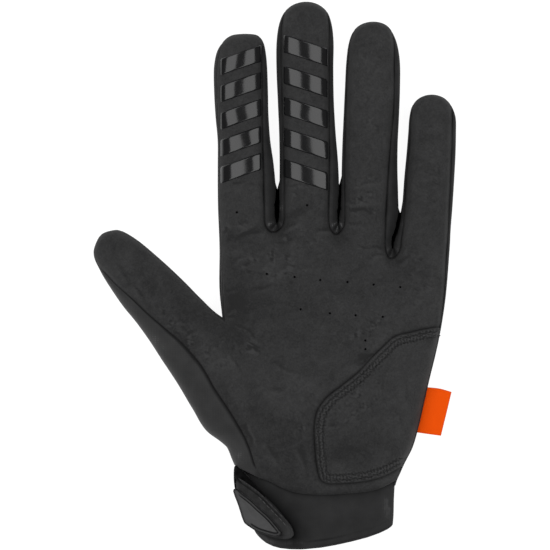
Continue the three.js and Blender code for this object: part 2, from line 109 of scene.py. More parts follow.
# y, left edge, left seam, right seam, right edge, lowest and highest z of each finger, tip first
FINGERS = {
    "index": (
        (33.2, 247, 247, 247, 247, 8.3, 8.3),
        (34, 234.6, 234.6, 255.8, 255.5, 5.0, 11.5),
        (37, 227.2, 227.2, 260.6, 260.4, 2.6, 13.4),
        (42, 222.3, 223.0, 262.2, 263.5, 0.8, 15.0),
        (51, 216.9, 220.4, 261.6, 265.6, -0.4, 16.0),
        (64, 214.1, 217.9, 261.5, 267, -1, 16.6),
        (90, 213.9, 217.5, 262, 268, -1, 16.8),
        (118, 215.5, 218.4, 262, 268.7, -1, 16.4),
        (140, 217.5, 219.7, 262.3, 270.3, -1, 17.1),
        (165, 217.6, 219.6, 262.8, 273.8, -1, 17.6),
        (190, 217.6, 219.4, 263.3, 275.8, -1, 18.4),
        (219, 218.3, 220.4, 264, 275.4, -1, 19.5),
        (223, 218.5, 220.3, 264, 276.6, -1, 19.7),
        (232, 218.9, 221.0, 264, 279.4, -1, 20.1),
        (250, 219.7, 221.8, 264, 284, -1, 20.6),
        (285, 221.4, 223.2, 264, 284, -0.4, 18.0),
        (328, 227, 225.4, 264, 276, 4.6, 14.0),
    ),
    "middle": (
        (1, 306.5, 306.5, 306.5, 306.5, 8.3, 8.3),
        (1.8, 299.6, 299.6, 313, 313, 5.0, 11.5),
        (4.8, 291.8, 291.8, 320.4, 320.4, 2.6, 13.4),
        (11, 284.8, 285.6, 326.4, 327.2, 0.8, 15.2),
        (23, 279.3, 282.6, 328.8, 331.7, -0.4, 16.4),
        (40, 276.7, 281.5, 329, 333.7, -1, 17.2),
        (70, 276.5, 281.5, 329, 333.5, -1, 17.4),
        (105, 278, 282.5, 329, 334.2, -1, 16.9),
        (135, 279.2, 283.5, 329, 336, -1, 17.8),
        (165, 279.6, 284.3, 329, 338.4, -1, 18.3),
        (190, 279.4, 284.6, 328.5, 339.1, -1, 19.0),
        (215, 279.2, 284.5, 328, 337.6, -1, 19.9),
        (219, 278.8, 284.5, 328, 337.6, -1, 20.0),
        (224, 277.0, 284.5, 328, 338.2, -1, 20.2),
        (234, 275.4, 284, 328, 340.4, -1, 20.7),
        (250, 276, 284, 328, 342, -1, 21.2),
        (285, 278, 284, 328, 340, -1, 18.0),
    ),
    "ring": (
        (21, 373.5, 373.5, 373.5, 373.5, 8.3, 8.3),
        (21.9, 366.4, 366.4, 380.6, 380.6, 5.0, 11.5),
        (25.2, 358.8, 358.8, 387.6, 387.6, 2.6, 13.4),
        (33, 352.3, 353.0, 392.4, 393.4, 0.8, 15.0),
        (45, 348.5, 349.6, 394, 397.8, -0.4, 16.2),
        (60, 346.6, 348.4, 394, 400.1, -1, 16.8),
        (90, 345, 347, 394, 400.3, -1, 17.0),
        (118, 343.7, 346, 392.8, 399.3, -1, 16.6),
        (145, 342.5, 345.4, 390, 398, -1, 17.4),
        (170, 341.8, 345, 388, 397.8, -1, 18.0),
        (195, 341.3, 345, 386.3, 398.4, -1, 18.8),
        (213, 340.2, 345, 385.2, 398.4, -1, 19.5),
        (220, 338.8, 345, 384.9, 397.2, -1, 19.8),
        (232, 337.2, 345, 384.7, 394.2, -1, 20.2),
        (243, 337.4, 345, 384.6, 391.4, -1, 20.5),
        (250, 338.2, 345, 384.6, 393.6, -1, 20.7),
        (262, 339.6, 345, 384.6, 397.6, -1, 20.6),
        (288, 342, 345, 384.6, 398, -1, 17.0),
    ),
    "little": (
        (94, 432.5, 432.5, 432.5, 432.5, 7.6, 7.6),
        (94.9, 425.8, 425.8, 438.8, 438.8, 4.6, 10.6),
        (98.2, 418.8, 418.8, 445.8, 445.8, 2.4, 12.2),
        (106, 412.5, 413.2, 451.4, 452.4, 0.6, 13.6),
        (117, 409.8, 411.6, 452.2, 456.1, -0.4, 14.6),
        (133, 408.6, 410.8, 452, 456.5, -1, 15.2),
        (155, 406.8, 409.2, 451.3, 456.0, -1, 15.3),
        (178, 404.6, 407.2, 450.3, 454.8, -1, 15.8),
        (200, 403, 405.6, 449.3, 453.4, -1, 16.6),
        (213, 401.8, 404.9, 448.7, 452.4, -1, 17.3),
        (225, 399.9, 403.8, 448.2, 451.4, -1, 18.0),
        (232, 397.9, 402.8, 447.8, 450.9, -1, 18.5),
        (243, 393.9, 401, 447, 450.4, -1, 19.0),
        (250, 391.2, 401, 446.4, 449.9, -1, 19.3),
        (262, 390.4, 401, 445.2, 449, -1, 19.2),
        (300, 396, 401, 441.6, 445.4, -0.4, 16.0),
    ),
}
# The thumb is measured along its own axis: the distance from its origin towards the wrist, then
# the outer edge, outer seam, inner seam and inner edge across it, and the lowest and highest z.
THUMB_ORIGIN = (103.0, 237.0)
THUMB_ANGLE = math.radians(49.1)
THUMB_ALONG = (math.cos(THUMB_ANGLE), math.sin(THUMB_ANGLE))
THUMB_ACROSS = (math.sin(THUMB_ANGLE), -math.cos(THUMB_ANGLE))
THUMB = (
    (-3.2, 0, 0, 0, 0, 9.5, 9.5),
    (-0.8, -8.6, -8.6, 8.3, 8.3, 6.0, 13.0),
    (4.2, -16.6, -16.6, 15.6, 15.8, 3.4, 15.2),
    (12, -21.4, -21.4, 18.6, 20.0, 1.8, 16.6),
    (20, -23.6, -23.0, 21.4, 22.6, 0.8, 17.4),
    (28.7, -25.6, -21.7, 23.3, 24.7, 0.0, 18.0),
    (45.4, -28.2, -20.8, 25.9, 27.4, -0.8, 18.8),
    (65.9, -30.4, -18.0, 28.6, 30.1, -1, 19.6),
    (87.7, -31.0, -15.8, 30.7, 32.2, -1, 20.6),
    (110.2, -33.0, -12.3, 32.1, 33.6, -1, 21.8),
    (133.9, -36.3, -9.0, 34.6, 36.3, -1, 23.2),
    (144.5, -37.6, -8.7, 36.9, 39.4, -1, 23.8),
    (160.6, -39.8, -8.9, 40, 45, -1, 24.6),
    (188, -44.7, -14.0, 50, 54, -1, 25.5),
    (215, -48.6, -17.4, 54, 58, -1, 26.0),
    (234, -44.6, -20.9, 54, 58, -0.6, 25.7),
    (240, -44.0, -22.2, 53.2, 57.2, -0.3, 25.5),
    (244, -45.0, -23.2, 52.4, 56.4, -0.1, 25.4),
    (251, -47.5, -25.5, 50.8, 54.8, 0.2, 25.1),
    (258, -49.8, -28.1, 49.6, 53.6, 0.5, 24.9),
    (268, -54.5, -32.6, 48, 52, 1.0, 24.6),
    (284, -60.0, -38.4, 46, 50, 1.4, 24.4),
)
# y, left edge, right edge, lowest and highest z of the hand between the fingers and the wrist
HAND = (
    (211, 222, 450.6, -1, 21.0),
    (236, 221, 450.4, -1, 22.2),
    (268, 221, 448.4, -1, 23.6),
    (300, 221.5, 445.4, -1, 25.0),
    (326, 222, 441.4, -1, 25.8),
    (352, 223, 436, -1, 26.4),
    (378, 225, 429.5, -1, 27.0),
    (404, 228, 423.5, -1, 27.2),
    (428, 231, 418, -1, 27.0),
    (448, 233, 412, -0.6, 26.4),
    (464, 235, 404.0, 0.4, 25.6),
    (472, 235.5, 400.5, 1.0, 25.3),
    (480, 236, 396.9, 1.6, 25.0),
    (500, 237, 392.4, 2.2, 24.6),
)
WEB_LINE = ((200, 232), (272, 232), (335, 234), (390, 259), (450, 262))
WEB_LEAD = 8.0  # px before that line where the hand starts to rise
WEB_RUN = 50.0  # px over which it rises
WEB_ROUND = 2.4  # the power of the superellipse along which it rises
HAND_LOW = -1.0  # mm, the height from which it rises
FOLDS = (
    # x1, y1, x2, y2, half-width in mm, depth in mm
    (222, 318, 247, 327, 1.2, 0.25),
    (247, 327, 256, 336, 0.9, 0.3),
    (224, 330, 236, 362, 5.0, -0.5),
    (216, 246, 262, 234, 3.4, 0.7),
    (238, 232, 258, 221, 1.4, -0.3),
    (280, 220, 306, 205, 1.3, 0.35),
    (255, 285, 292, 262, 4.0, -0.5),
    (334, 236, 318, 228, 1.6, 0.4),
    (335, 240, 372, 262, 5.0, 0.5),
    (392, 262, 380, 300, 4.0, 0.5),
    (240, 292, 300, 300, 6.0, -0.3),
    (300, 335, 345, 330, 7.0, -0.4),
    (160, 305, 196, 352, 3.0, 0.5),
    (118, 278, 140, 312, 2.6, -0.45),
    (176, 300, 190, 330, 3.5, -0.35),
    (262, 380, 300, 392, 7.0, -0.45),
    (286, 420, 300, 470, 3.0, 0.45),
    (250, 428, 262, 452, 1.4, -0.4),
    (262, 452, 300, 478, 4.0, -0.3),
    (268, 350, 296, 462, 9.0, 1.9),
    (292, 268, 388, 276, 6.0, 0.9),
    (330, 300, 420, 318, 9.0, 0.8),
    (356, 372, 380, 350, 3.4, 0.9),
    (152, 294, 172, 318, 4.0, 0.7),
    (150, 268, 168, 300, 2.4, 0.35),
    (240, 355, 262, 420, 5.0, 0.6),
    (286, 108, 326, 112, 3.0, 0.3),
    (350, 128, 392, 133, 3.0, 0.3),
    (225, 128, 262, 132, 3.0, 0.3),
    (411, 175, 448, 180, 3.0, 0.3),
)
CUFF_SEAM = (
    (215, 452), (228, 460.5), (236, 466), (244, 471.4), (252, 474.4), (262, 477.2), (272, 481.2),
    (282, 486.2), (291, 489.8), (301, 491.9), (320, 493.2), (340, 492.6), (357, 491.3), (368, 490),
    (378, 487.8), (386, 484.4), (394, 480.5), (420, 470),
)
SHARES_FROM = 300.0  # y from which the palm's rows are shares of the way to the cuff seam
# The seams at the foot of the gaps: where the straight sides end, and the lowest point.
GAP_SEAMS = (
    # y of both ends, left x, right x, lowest x, lowest y, then x of the line down the palm at
    # SHARES_FROM and at its end
    (219, 264.0, 284.5, 272.5, 232.5, 279.6, 300.0),
    (219, 328.0, 345.0, 335.5, 234.5, 334.0, 329.0),
    (243, 384.6, 401.0, 390.0, 259.0, 382.0, 358.0),
)
CROTCH = (225.5, 322.0)  # of the thumb
THUMB_LINE_END = 266.0  # x where the line between the thumb and the index strip meets the cuff
SIDE_SEAM_INSET = ((250, 3.6), (330, 1.6))  # y, and how many px inside the edge the seam lies there
# Spans are written as a start and a run.
SIDE_BLEND = (225, 37)  # of y, over which the little finger's side passes into the hand's
THUMB_SEAM_LOW = (462, 9)  # of y, over which the thumb's seam runs out before the cuff
THUMB_SEAM_RIGHT = (268, 6)  # of x, from right to left, over which it does so
SEAMS_LOW = (468, 8)  # of y, over which every seam gets weaker
THUMB_SEAM_FINE = (275, 20)  # of y, over which the thumb's seam gets finer
CUFF_SOFT = (240, 22)  # of x, over which the cuff's seam gets soft
CUFF_NEAR = (-9, 6)  # of px below the cuff's seam, over which places come to count as beside it
PAD_FOOT = (465, 12)  # of y, over which the painted shadow line round the heel pad gets weaker
FOOT_GUESS = 185.5  # px from SHARES_FROM to the cuff seam, where its rounds start
FOOT_ROUNDS = 4
EDGE_TURN = 1.05  # mm that the suede is drawn down at a seam
EDGE_WIDTH = 0.95
EDGE_RIDGE = (0.16, 1.9, 0.8)  # mm, the height of the ridge beside it, its distance and half-width
SEAM_DARK = 0.78  # how dark the painted shade along a seam's line is, and how far that varies along it
SEAM_VARIES = 0.14
SEAM_HALF = 0.36  # mm, the line's half-width
THUMB_SEAM_DARK = 0.84  # the same for the thumb's seam, which is even
THUMB_SEAM_HALF = 0.23
NEAREST = 0.01  # mm within which a seam is taken as the nearest one
SUEDE_THICKNESS = 0.0008  # metres
TIP_BARE = 6.0  # px from the tip where the palm and the back meet without a strip
SEAM_RUN = 9.0  # px over which the strip comes to its width
COLUMNS = 27  # points across a finger
rng = np.random.default_rng(11)


def table_at(rows, at, root=False):
    """Each column of a table at places along it: a cubic between each two rows, its slopes those of
    the rows about it. With root, places count as the square root of the distance from the first
    row, so that a column which starts at a round tip is smooth there."""
    rows = np.asarray(rows, float)
    at = np.clip(np.asarray(at, float), rows[0, 0], rows[-1, 0])
    knots = rows[:, 0]
    if root:
        at = np.sqrt(at - knots[0])
        knots = np.sqrt(knots - knots[0])
    slopes = np.gradient(rows[:, 1:], knots, axis=0)
    i = np.clip(np.searchsorted(knots, at, side="right") - 1, 0, len(knots) - 2)
    step = knots[i + 1] - knots[i]
    t = ((at - knots[i]) / step)[..., None]
    step = step[..., None]
    start, end = rows[i, 1:], rows[i + 1, 1:]
    values = (
        (2 * t**3 - 3 * t**2 + 1) * start
        + (t**3 - 2 * t**2 + t) * step * slopes[i]
        + (3 * t**2 - 2 * t**3) * end
        + (t**3 - t**2) * step * slopes[i + 1]
    )
    return np.moveaxis(values, -1, 0)


def bell(t, power=2):
    """A bell curve: 1 at 0, falling off on both sides as e to the minus power of t."""
    return np.exp(-(np.abs(t) ** power))


def y_on(line, x):
    """The y of a plan line at x."""
    return np.interp(x, *np.transpose(line))


def seam_y(x):
    """The plan y of the cuff seam at x."""
    return table_at(CUFF_SEAM, x)[0]


def thumb_plan(along, across):
    """The plan place of thumb coordinates."""
    x = THUMB_ORIGIN[0] + THUMB_ALONG[0] * along + THUMB_ACROSS[0] * across
    y = THUMB_ORIGIN[1] + THUMB_ALONG[1] * along + THUMB_ACROSS[1] * across
    return x, y


def thumb_coordinates(x, y):
    """A plan place in thumb coordinates: along and across."""
    dx, dy = x - THUMB_ORIGIN[0], y - THUMB_ORIGIN[1]
    return dx * THUMB_ALONG[0] + dy * THUMB_ALONG[1], dx * THUMB_ACROSS[0] + dy * THUMB_ACROSS[1]


def dome(across, left, right, low, high, squareness):
    """The upper half of a superellipse between two edges, falling away steeply outside them."""
    half = np.maximum((right - left) / 2, SAME)
    u = np.abs(across - (left + right) / 2) / half
    rise = np.maximum(1 - np.minimum(u, 1) ** squareness, 0) ** (1 / squareness)
    outside = np.maximum(u - 1, 0) * half * MM_PER_PIXEL
    return (low + high) / 2 + (high - low) / 2 * rise - FALL * outside


def segment_distance(x, y, x1, y1, x2, y2):
    """Distance in mm from plan points to a straight piece of line."""
    dx, dy = x2 - x1, y2 - y1
    t = np.clip(((x - x1) * dx + (y - y1) * dy) / (dx * dx + dy * dy + 1e-9), 0, 1)
    return np.hypot(x - x1 - t * dx, y - y1 - t * dy) * MM_PER_PIXEL


def line_distance(x, y, line, block=4000):
    """Distance in mm from plan points to the nearest piece of a line, or of several lines. The
    points are taken in blocks to keep the arrays small."""
    pieces = [np.asarray(part, float) for part in line]
    start = np.concatenate([part[:-1] for part in pieces])
    end = np.concatenate([part[1:] for part in pieces])
    flat_x, flat_y = np.ravel(x), np.ravel(y)
    out = np.empty(flat_x.shape)
    for first in range(0, len(flat_x), block):
        part = slice(first, first + block)
        px, py = flat_x[part, None], flat_y[part, None]
        out[part] = segment_distance(px, py, start[:, 0], start[:, 1], end[:, 0], end[:, 1]).min(axis=1)
    return out.reshape(np.shape(x))


def swell(x, y, length, height, count=7):
    """A gentle uneven surface: several sine waves of about one length in mm, in directions of
    their own, added up."""
    angle = rng.uniform(0, math.tau, count)
    wave = math.tau / (length * rng.uniform(0.75, 1.35, count)) * MM_PER_PIXEL
    phase = rng.uniform(0, math.tau, count)
    total = 0.0
    for a, k, p in zip(angle, wave, phase):
        total = total + np.sin(k * (np.cos(a) * x + np.sin(a) * y) + p)
    return height * total / math.sqrt(count)


# The swells of the suede: length and height in mm.
WAVES = ((34.0, 0.26), (13.0, 0.14), (5.5, 0.06), (2.6, 0.018))
SMOOTH_LENGTH = 20.0  # mm, the shortest swell that a smooth surface keeps
WAVE_STATE = rng.bit_generator.state
NAP_STATE = np.random.default_rng(23).bit_generator.state
# Patches painted lighter or darker, for the nap lying another way and for painted light and shade
# on folds, edges, the knit's sheen and the cuff beside the strap: x, y, half-length, half-width in px, turn
# in degrees, shade
NAP_AND_PAINTED_LIGHT = (
    (236, 305, 22, 8, 55, -0.16), (238, 238, 24, 7, -12, -0.13), (277, 268, 26, 11, -38, 0.12),
    (246, 226, 12, 3, -28, 0.10), (294, 212, 16, 2.5, -32, -0.16), (364, 357, 9, 6, -40, -0.40),
    (366, 364, 14, 2, -32, 0.28), (374, 354, 12, 1.6, -30, 0.26), (221, 359, 13, 9, 40, 0.17),
    (229, 334, 21, 12, 42, -0.16), (208, 345, 13, 4, 72, 0.12), (244, 324, 8, 2, 18, 0.12),
    (288, 385, 20, 14, -20, 0.10), (306, 384, 9, 8, 0, 0.08), (270, 428, 34, 12, 60, -0.09),
    (308, 450, 10, 20, 0, -0.06), (240, 418, 26, 6, 62, -0.10), (250, 436, 16, 3, 63, 0.05),
    (268, 462, 24, 7, 25, 0.02), (252, 436, 34, 6, 60, -0.07), (288, 478, 30, 8, 25, -0.14),
    (355, 290, 34, 8, -10, -0.06), (290, 300, 40, 14, 4, -0.03), (405, 275, 16, 10, -30, -0.09),
    (340, 240, 10, 6, 20, -0.14), (280, 236, 12, 5, 0, -0.13), (396, 263, 10, 5, 20, -0.16),
    (362, 185, 18, 3, 2, 0.12), (360, 203, 18, 3, 0, 0.12), (362, 210, 16, 2.5, 2, -0.10),
    (304, 183, 18, 3, -4, 0.10), (240, 190, 16, 5, 10, 0.07), (440, 250, 9, 24, 4, 0.07),
    (424, 300, 14, 22, 0, 0.05), (176, 316, 30, 8, 52, 0.08), (150, 284, 26, 5, 52, -0.09),
    (186, 346, 26, 5, 54, -0.08), (126, 262, 14, 8, 40, 0.07), (430, 150, 10, 24, 0, 0.04),
    (372, 90, 14, 36, 0, 0.05), (334, 428, 9, 30, 0, -0.04), (345, 452, 22, 12, -10, -0.10),
    (400, 400, 12, 30, 12, 0.08), (350, 404, 26, 10, -38, 0.05), (221, 436, 16, 9, 45, 0.30),
    (262, 538, 16, 6, 30, 0.42), (272, 541, 14, 4, 15, 0.20), (252, 528, 8, 5, 45, 0.34),
    (238, 453, 8, 8, 0, 0.34), (214, 412, 22, 9, 60, -0.16), (185, 308, 34, 16, 50, -0.13),
    (290, 322, 42, 26, 0, -0.05), (292, 446, 18, 36, 0, -0.09), (405, 357, 20, 12, -20, 0.08),
    (370, 85, 24, 50, 0, 0.05), (400, 305, 25, 25, 0, 0.05), (158, 341, 20, 5, 52, 0.35),
    (108, 268, 17, 5, 52, 0.18), (176, 330, 20, 7, 50, -0.05), (244, 296, 18, 22, 0, -0.17),
    (356, 448, 28, 14, 0, -0.09), (374, 354, 34, 9, -42, 0.19), (290, 405, 22, 18, 0, 0.07),
    (242, 378, 12, 10, 0, 0.07), (387, 506, 28, 7, 88, 0.43), (291, 540, 18, 6, 8, 0.50),
    (275, 204, 10, 13, 0, 0.26), (338, 214, 6, 12, 0, 0.20), (400, 230, 8, 16, 12, 0.24),
    (349, 85, 60, 4, 95, 0.18), (414, 118, 22, 5, 95, 0.18), (453, 155, 50, 3, 91, 0.12),
    (224, 235, 70, 4, 88, 0.10), (223, 300, 20, 3, 80, 0.08), (240, 232, 22, 3, -12, -0.10),
)
# Painted shade along sharp creases and painted light beside them: x, y, x, y, half-width in px, shade
PAINTED_CREASE_SHADE = (
    (226, 315, 234, 316, 1.0, 0.38), (236, 325, 247, 328, 0.9, 0.26), (247, 328, 255, 336, 0.9, 0.34),
    (226, 312, 242, 306, 1.3, 0.22), (224, 290, 240, 288, 1.2, 0.30), (230, 262, 246, 256, 1.3, 0.22),
    (240, 236, 266, 229, 2.2, 0.20), (233, 236, 254, 225, 1.5, -0.26), (288, 222, 308, 208, 3.0, 0.18),
    (282, 228, 300, 222, 1.6, 0.22), (316, 231, 334, 227, 2.2, 0.30), (346, 202, 370, 204, 1.2, 0.25),
    (348, 209, 368, 211, 1.2, 0.22), (350, 186, 372, 184, 1.2, 0.20), (346, 222, 366, 226, 1.3, 0.18),
    (358, 246, 383, 248, 1.3, 0.22), (370, 259, 384, 252, 1.5, 0.28), (398, 262, 410, 256, 1.5, 0.24),
    (284, 188, 304, 182, 1.3, 0.20), (296, 178, 318, 184, 1.2, 0.16), (232, 186, 246, 182, 1.3, 0.18),
    (254, 290, 276, 282, 1.6, 0.18), (270, 276, 292, 262, 2.0, 0.16), (244, 346, 262, 352, 1.4, 0.22),
    (230, 352, 238, 368, 1.4, 0.18), (206, 344, 212, 356, 1.4, 0.12), (180, 326, 196, 338, 1.2, 0.20),
    (186, 334, 198, 330, 1.2, 0.22), (176, 318, 190, 326, 1.3, 0.20), (118, 262, 130, 284, 2.0, 0.20),
    (134, 284, 146, 300, 1.4, 0.22), (355, 366, 375, 352, 1.5, 0.40), (352, 372, 366, 356, 1.2, -0.26),
    (366, 362, 380, 346, 1.2, 0.26), (262, 392, 288, 384, 1.8, 0.16), (272, 362, 300, 372, 1.8, 0.16),
    (246, 420, 258, 446, 1.4, -0.24), (266, 440, 280, 462, 2.4, 0.18), (300, 440, 306, 470, 2.4, 0.16),
    (392, 404, 404, 430, 2.0, 0.07), (404, 380, 410, 410, 2.0, 0.06), (340, 446, 372, 450, 2.4, 0.07),
)
CREASE_WAVE = (7.0, 1.3)  # length in mm and height in px of the bends in a crease
NAP_GRAIN = ((12.0, 0.030), (5.0, 0.014))
# Places where the nap is crumpled: x, y, half-length, half-width in px, turn in degrees, shade
CRUMPLES = (
    (178, 330, 24, 8, 48, 0.24), (252, 262, 20, 14, 0, 0.19), (284, 268, 18, 18, -30, 0.18),
    (236, 226, 16, 12, 0, 0.16), (300, 238, 26, 9, 0, 0.14), (362, 200, 15, 26, 0, 0.16),
    (364, 330, 30, 20, 0, 0.14), (420, 280, 18, 34, 0, 0.12), (300, 186, 22, 10, 0, 0.14),
    (250, 346, 16, 12, 0, 0.21), (355, 400, 34, 16, -45, 0.16), (300, 420, 26, 40, 0, 0.09),
    (372, 90, 16, 50, 0, 0.10), (432, 160, 14, 40, 0, 0.09), (216, 358, 12, 12, 0, 0.14),
)
CRUMPLE_LENGTH = 1.7  # mm
# Zones of fine cross wrinkles: x, y, half-width, half-height, wave in px, depth in mm
WRINKLES = (
    (360, 190, 20, 24, 6.5, 0.09), (304, 190, 22, 16, 5.5, 0.08), (306, 16, 16, 9, 5.0, 0.06),
    (242, 40, 14, 7, 5.0, 0.06), (434, 112, 14, 12, 5.5, 0.06), (240, 232, 16, 12, 8.0, 0.10),
    (428, 262, 16, 20, 7.0, 0.07), (250, 330, 18, 14, 7.0, 0.12),
)


def palm_height(x, y, smooth=False):
    """Height in mm of the glove's palm side over a plan point: the soft maximum of the five
    digits and the hand, each the upper half of a superellipse between its edges, less the folds
    and with a slight swell and fine wrinkles. With smooth, only the widest swell. The soft maximum
    is the highest form, plus the softness times the logarithm of the sum of e to the power of
    each form's height from the highest in softnesses."""
    x, y = np.asarray(x, float), np.asarray(y, float)
    forms = []
    for rows in FINGERS.values():
        left, _, _, right, low, high = table_at(rows, y, root=True)
        z = dome(x, left, right, low, high, DIGIT_SQUARENESS)
        forms.append(np.where(y < rows[0][0] - SAME, NO_FORM, z))
    along, across = thumb_coordinates(x, y)
    left, _, _, right, low, high = table_at(THUMB, along, root=True)
    z = dome(across, left, right, low, high, DIGIT_SQUARENESS)
    forms.append(np.where(along < THUMB[0][0] - SAME, NO_FORM, z))
    left, right, low, high = table_at(HAND, y)
    start = y_on(WEB_LINE, x) - WEB_LEAD
    lead = np.clip((y - start) / WEB_RUN, 0, 1)
    lead = (1 - (1 - lead) ** WEB_ROUND) ** (1 / WEB_ROUND)
    z = dome(x, left, right, low, high, PALM_SQUARENESS)
    forms.append(np.where(lead > 0, HAND_LOW + (z - HAND_LOW) * lead, NO_FORM))
    stack = np.stack(forms)
    top = stack.max(axis=0)
    z = top + SOFTNESS * np.log(np.exp((stack - top) / SOFTNESS).sum(axis=0))
    for *ends, half_width, depth in FOLDS:
        z = z - depth * bell(segment_distance(x, y, *ends) / half_width)
    rng.bit_generator.state = WAVE_STATE
    for length, height in WAVES:
        waves = swell(x, y, length, height)
        if not smooth or length > SMOOTH_LENGTH:
            z = z + waves
    if smooth:
        return z
    for zone_x, zone_y, half_width, half_height, wave, depth in WRINKLES:
        away = ((x - zone_x) / half_width) ** 2 + ((y - zone_y) / half_height) ** 2
        bend = 2.4 * np.sin((x - zone_x) / 9.0 + zone_y) + 1.3 * np.sin((x - zone_x) / 3.7 + zone_x)
        z = z + depth * bell(away, 1.5) * np.sin(math.tau / wave * (y + bend))
    return z


def patch_shade(x, y, patches):
    """The shade of slanted patches at plan points: each is full in its middle and falls off round
    it as a bell."""
    shade = 0
    for patch_x, patch_y, half_long, half_wide, turned_by, amount in patches:
        c, s = math.cos(math.radians(turned_by)), math.sin(math.radians(turned_by))
        along, beside = (x - patch_x) * c + (y - patch_y) * s, (y - patch_y) * c - (x - patch_x) * s
        shade = shade + amount * bell(np.hypot(along / half_long, beside / half_wide))
    return shade


def nap_and_painted_light_at(x, y):
    """How much lighter (above 0) or darker (below 0) the cloth is painted at plan points: its patches of
    nap and painted light and shade, the painted shade and light of its sharp creases, a grain all
    over, and a finer grain in islands where it is crumpled."""
    x, y = np.asarray(x, float), np.asarray(y, float)
    shade = patch_shade(x, y, NAP_AND_PAINTED_LIGHT)
    rng.bit_generator.state = NAP_STATE
    bent_x, bent_y = x + swell(x, y, *CREASE_WAVE), y + swell(x, y, *CREASE_WAVE)
    for x1, y1, x2, y2, half_width, amount in PAINTED_CREASE_SHADE:
        run = math.hypot(x2 - x1, y2 - y1)
        along = ((bent_x - x1) * (x2 - x1) + (bent_y - y1) * (y2 - y1)) / run
        beside = ((bent_y - y1) * (x2 - x1) - (bent_x - x1) * (y2 - y1)) / run / half_width
        ends = np.exp(-1.6 * (2 * along / run - 1) ** 4)
        shade = shade - amount * ends * (bell(beside) - 0.6 * bell((beside - 2.0) / 1.3))
    for length, height in NAP_GRAIN:
        shade = shade + swell(x, y, length, height)
    islands = np.clip(swell(x, y, 4.0 * CRUMPLE_LENGTH, 1.0, 11) + 0.35, 0, 1.5)
    crumpled = swell(x, y, CRUMPLE_LENGTH, 0.7, 13) + swell(x, y, 1.9 * CRUMPLE_LENGTH, 0.6, 11)
    return shade + 1.5 * islands * np.clip(crumpled, -1.2, 1.8) * patch_shade(x, y, CRUMPLES)


def solid_place(x, y, z):
    """Points in metres in the glove's frame, from plan places in pixels and heights in mm."""
    x, y, z = np.broadcast_arrays(x, y, z)
    return np.stack([(x - CENTRE[0]) * PIXEL, (CENTRE[1] - y) * PIXEL, z * MM], axis=-1)


MEETING = 2e-5  # metres within which points are merged
VANISHING = 1e-6  # metres below which an edge is taken away


def cloth_object(name, grids, turned=False, closed=False, seams_and_painted_shade=None, nap_and_painted_light=None):
    """One object from grids of points: every cell of a grid becomes a face, and points that meet
    are merged. With turned, faces look the other way. With closed, each grid's last column joins
    its first. Two shades are kept with each point: seams_and_painted_shade is 1 where dark seams and
    painted shade and shadow darken the cloth and else 0, and nap_and_painted_light is above 0 where
    the cloth looks lighter and below 0 where darker, from its nap and from painted light and shade."""
    points, faces, first = [], [], 0
    for grid in grids:
        rows, columns = grid.shape[:2]
        number = first + np.arange(rows * columns).reshape(rows, columns)
        if closed:
            number = np.concatenate([number, number[:, :1]], axis=1)
        corners = [number[:-1, :-1], number[1:, :-1], number[1:, 1:], number[:-1, 1:]]
        if turned:
            corners.reverse()
        faces.append(np.stack(corners, axis=-1).reshape(-1, 4))
        points.append(grid.reshape(-1, 3))
        first += rows * columns
    points, faces = np.concatenate(points), np.concatenate(faces)
    data = bpy.data.meshes.new(name)
    data.vertices.add(len(points))
    data.vertices.foreach_set("co", points.ravel())
    data.loops.add(faces.size)
    data.loops.foreach_set("vertex_index", faces.ravel())
    data.polygons.add(len(faces))
    data.polygons.foreach_set("loop_start", np.arange(0, faces.size, 4))
    data.update(calc_edges=True)
    for title, parts in (("seams_and_painted_shade", seams_and_painted_shade), ("nap_and_painted_light", nap_and_painted_light)):
        if parts is not None:
            shade = data.attributes.new(title, "FLOAT", "POINT")
            shade.data.foreach_set("value", np.concatenate([np.ravel(part) for part in parts]))
    cleaner = bmesh.new()
    cleaner.from_mesh(data)
    bmesh.ops.remove_doubles(cleaner, verts=cleaner.verts, dist=MEETING)
    bmesh.ops.dissolve_degenerate(cleaner, edges=cleaner.edges, dist=VANISHING)
    cleaner.to_mesh(data)
    cleaner.free()
    data.polygons.foreach_set("use_smooth", np.ones(len(data.polygons), bool))
    made = bpy.data.objects.new(name, data)
    bpy.context.scene.collection.objects.link(made)
    return made


def thicken(made, thickness):
    """Gives a sheet its thickness, inwards."""
    wall = made.modifiers.new("thickness", "SOLIDIFY")
    wall.thickness = thickness
    wall.offset = -1.0
    wall.use_even_offset = False


def place_piece(made, material, slot, *nodes):
    """The piece gets its material, rides with the glove and stands for its CAD nodes, if any."""
    made.data.materials.append(material)
    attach(made, "root")
    if nodes:
        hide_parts(*nodes)


def ease(t):
    """Rises smoothly from 0 to 1."""
    t = np.clip(t, 0, 1)
    return t * t * (3 - 2 * t)


def risen(at, span):
    """How far a place has come over a span, given as its start and its run: eased from 0 to 1."""
    start, run = span
    return ease((at - start) / run)


def seam_across(rows, at, right):
    """A digit's seam on one side: on its edge round the tip, and from there where the table has it."""
    line = table_at(rows, at, root=True)
    seam, edge = (line[2], line[3]) if right else (line[1], line[0])
    return edge + (seam - edge) * ease((np.asarray(at) - rows[0][0] - TIP_BARE) / SEAM_RUN)


def palm_line(gap, share):
    """x of the line down the palm that two finger strips share, from y = SHARES_FROM on."""
    start, end = gap[5:]
    return start + (end - start) * share


